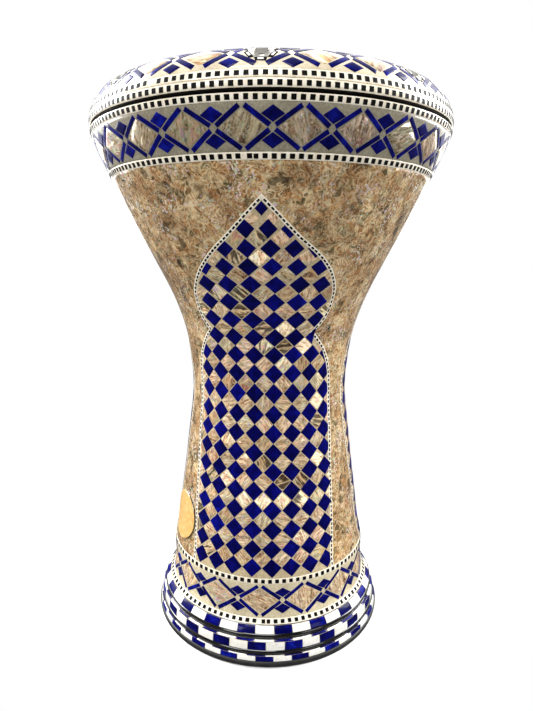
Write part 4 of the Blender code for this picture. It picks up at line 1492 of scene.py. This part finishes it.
# --------------------------------------------------------------------- badge
def badge():
    """Domed gold disc bent to the shell, with a black edge round it."""
    place = chart(shell, math.radians(BADGE_AZIMUTH), shell.find(BADGE_Z))
    n = 96
    angles = np.arange(n) / n * TAU
    r = BADGE_RADIUS
    # (radius, height above the shell), edge to middle
    loops = [(r - 0.1, 0.25), (r - 0.1, 1.12), (r - 0.35, 1.36), (r - 0.8, 1.42), (r - 1.6, 1.40),
             (r - 2.0, 1.30), (r - 2.4, 1.32)]
    loops += [(r * k, 1.34 + 0.25 * (1 - k)) for k in (0.82, 0.7, 0.56, 0.42, 0.28, 0.14)]
    edge_loops = [(r - 0.6, 0.05), (r + 0.25, 0.05), (r + 0.25, 0.75), (r + 0.05, 0.95),
                  (r - 0.2, 0.9)]

    def bent(loops):
        return [place(q * np.cos(angles), q * np.sin(angles), d) for q, d in loops]

    middle = np.zeros(1)
    verts = bent(loops) + [place(middle, middle, 1.58), place(middle, middle, 0.25)]
    tex = [np.stack([q * np.cos(angles), q * np.sin(angles), 0 * angles], 1) for q, _ in loops]
    m = len(loops)
    last = (m - 1) * n
    faces = grid_faces(m, n)
    faces += [(last + i, last + (i + 1) % n, m * n) for i in range(n)]
    faces += [((i + 1) % n, i, m * n + 1) for i in range(n)]
    disc, edge = Piece(), Piece()
    disc.add(np.concatenate(verts), faces, np.concatenate(tex + [np.zeros((2, 3))]))
    edge.add(np.concatenate(bent(edge_loops)), grid_faces(len(edge_loops), n, wrap_rows=True))
    attach(disc.build("badge", GOLD), "shell", "badge_plate")
    attach(edge.build("badge_edge", BEAD), "shell")


badge()


# ---------------------------------------------------------------- the studio
def make_floor():
    """White floor: a lit surface near the drum that fades into an even glow further out."""
    bpy.ops.mesh.primitive_plane_add(size=14, location=(0, 0, -0.0002))
    floor = bpy.context.object
    floor.name = "floor"
    m = Material("floor_white")
    rays = m.node("ShaderNodeLightPath").outputs
    seen = rays["Is Camera Ray"]
    far = m.grey_ramp(m.vector("LENGTH", m.coords()), (0.098, 0), (0.125, 0.45), (0.22, 1))
    m.surface(Base_Color=m.mix(seen, (0.55, 0.55, 0.55, 1), (0.93, 0.93, 0.925, 1)),
              Roughness=0.6, Specular_IOR_Level=0.1)

    def emission(strength):
        return m.node("ShaderNodeEmission", {"Color": (1, 1, 1, 1),
                                             "Strength": strength}).outputs[0]

    def blend(fac, a, b):
        return m.node("ShaderNodeMixShader", {0: fac, 1: a, 2: b}).outputs[0]

    # full strength to the camera, 0.45 to other rays, dimmer still in reflections
    glow = emission(m.math("MULTIPLY_ADD", seen, 0.55, 0.45))
    surface = blend(far, m.shader.outputs[0], glow)
    surface = blend(rays["Is Glossy Ray"], surface, emission(0.16))
    m.put(m.tree.nodes["Material Output"].inputs["Surface"], surface)
    floor.data.materials.append(m.material)


def make_world():
    """A bright tent round the sides and back; the camera's side stays dim, so colours keep
    their depth. The camera itself sees plain white."""
    world = bpy.data.worlds.new("studio")
    bpy.context.scene.world = world
    world.use_nodes = True
    w = Nodes(world.node_tree)
    for node in list(w.tree.nodes):
        w.tree.nodes.remove(node)
    turned_direction = w.node(
        "ShaderNodeVectorRotate", {"Vector": w.coords("Generated"), "Angle": -CAMERA_TURN},
        rotation_type="Z_AXIS").outputs[0]
    parts = w.separate(turned_direction)
    # both run from 0 to 1
    back = w.math("MULTIPLY_ADD", parts["Y"], 0.5, 0.5)
    up = w.math("MULTIPLY_ADD", parts["Z"], 0.5, 0.5)
    gloss = w.grey_ramp(back, (0.0, 0.03), (0.30, 0.06), (0.46, 0.5), (0.60, 2.0), (0.78, 2.6),
                        (0.92, 2.0))
    ambient = w.times(
        w.grey_ramp(up, (0.0, 0.36), (0.42, 0.72), (0.62, 1.0), (1.0, 0.85)),
        w.grey_ramp(back, (0.0, 0.28), (0.30, 0.40), (0.55, 0.95), (1.0, 1.15)))
    rays = w.node("ShaderNodeLightPath").outputs
    light = w.mix(rays["Is Glossy Ray"], ambient, gloss)
    light = w.mix(rays["Is Camera Ray"], light, (1, 1, 1, 1))
    background = w.node("ShaderNodeBackground", {"Color": light, "Strength": 1.0})
    w.node("ShaderNodeOutputWorld", {"Surface": background.outputs[0]})


def softbox(name, location, target, size, power):
    """Rectangular area light; metres and watts."""
    light = bpy.data.lights.new(name, "AREA")
    light.shape = "RECTANGLE"
    light.size, light.size_y = size
    light.energy = power
    ob = bpy.data.objects.new(name, light)
    bpy.context.scene.collection.objects.link(ob)
    ob.location = location
    aim = Vector(target) - Vector(location)
    ob.rotation_euler = aim.to_track_quat("-Z", "Y").to_euler()


def make_camera():
    camera = bpy.data.cameras.new("camera")
    camera.sensor_width = 36.0
    camera.lens = 26.607595
    camera.clip_start = 0.01
    ob = bpy.data.objects.new("camera", camera)
    bpy.context.scene.collection.objects.link(ob)
    down, roll = math.radians(11.426), math.radians(0.295)
    swing = Matrix.Rotation(CAMERA_TURN, 4, "Z")
    position = swing @ Vector((-0.0025, -0.4545, 0.3200))
    ob.matrix_world = (Matrix.Translation(position) @ swing
                       @ Matrix.Rotation(math.radians(90) - down, 4, "X")
                       @ Matrix.Rotation(roll, 4, "Z"))
    bpy.context.scene.camera = ob


make_floor()
make_world()
# name, location, target, (width, height), power
for lamp in (("key", (-0.75, -1.25, 0.95), (0, 0, 0.22), (0.5, 0.5), 7.5),
             ("fill", (1.1, -1.0, 0.7), (0, 0, 0.2), (0.5, 0.5), 3.0),
             ("top", (0.0, -0.1, 1.6), (0, 0, 0.3), (1.0, 1.0), 2.5),
             ("left", (-0.95, 0.25, 0.75), (0, 0, 0.16), (0.6, 0.8), 22.0),
             ("right", (0.95, 0.25, 0.75), (0, 0, 0.16), (0.6, 0.8), 18.0),
             ("high", (-0.1, -0.95, 1.45), (0, 0, 0.15), (0.7, 0.5), 9.0)):
    softbox(*lamp)
make_camera()
bpy.context.scene.view_settings.view_transform = "Standard"
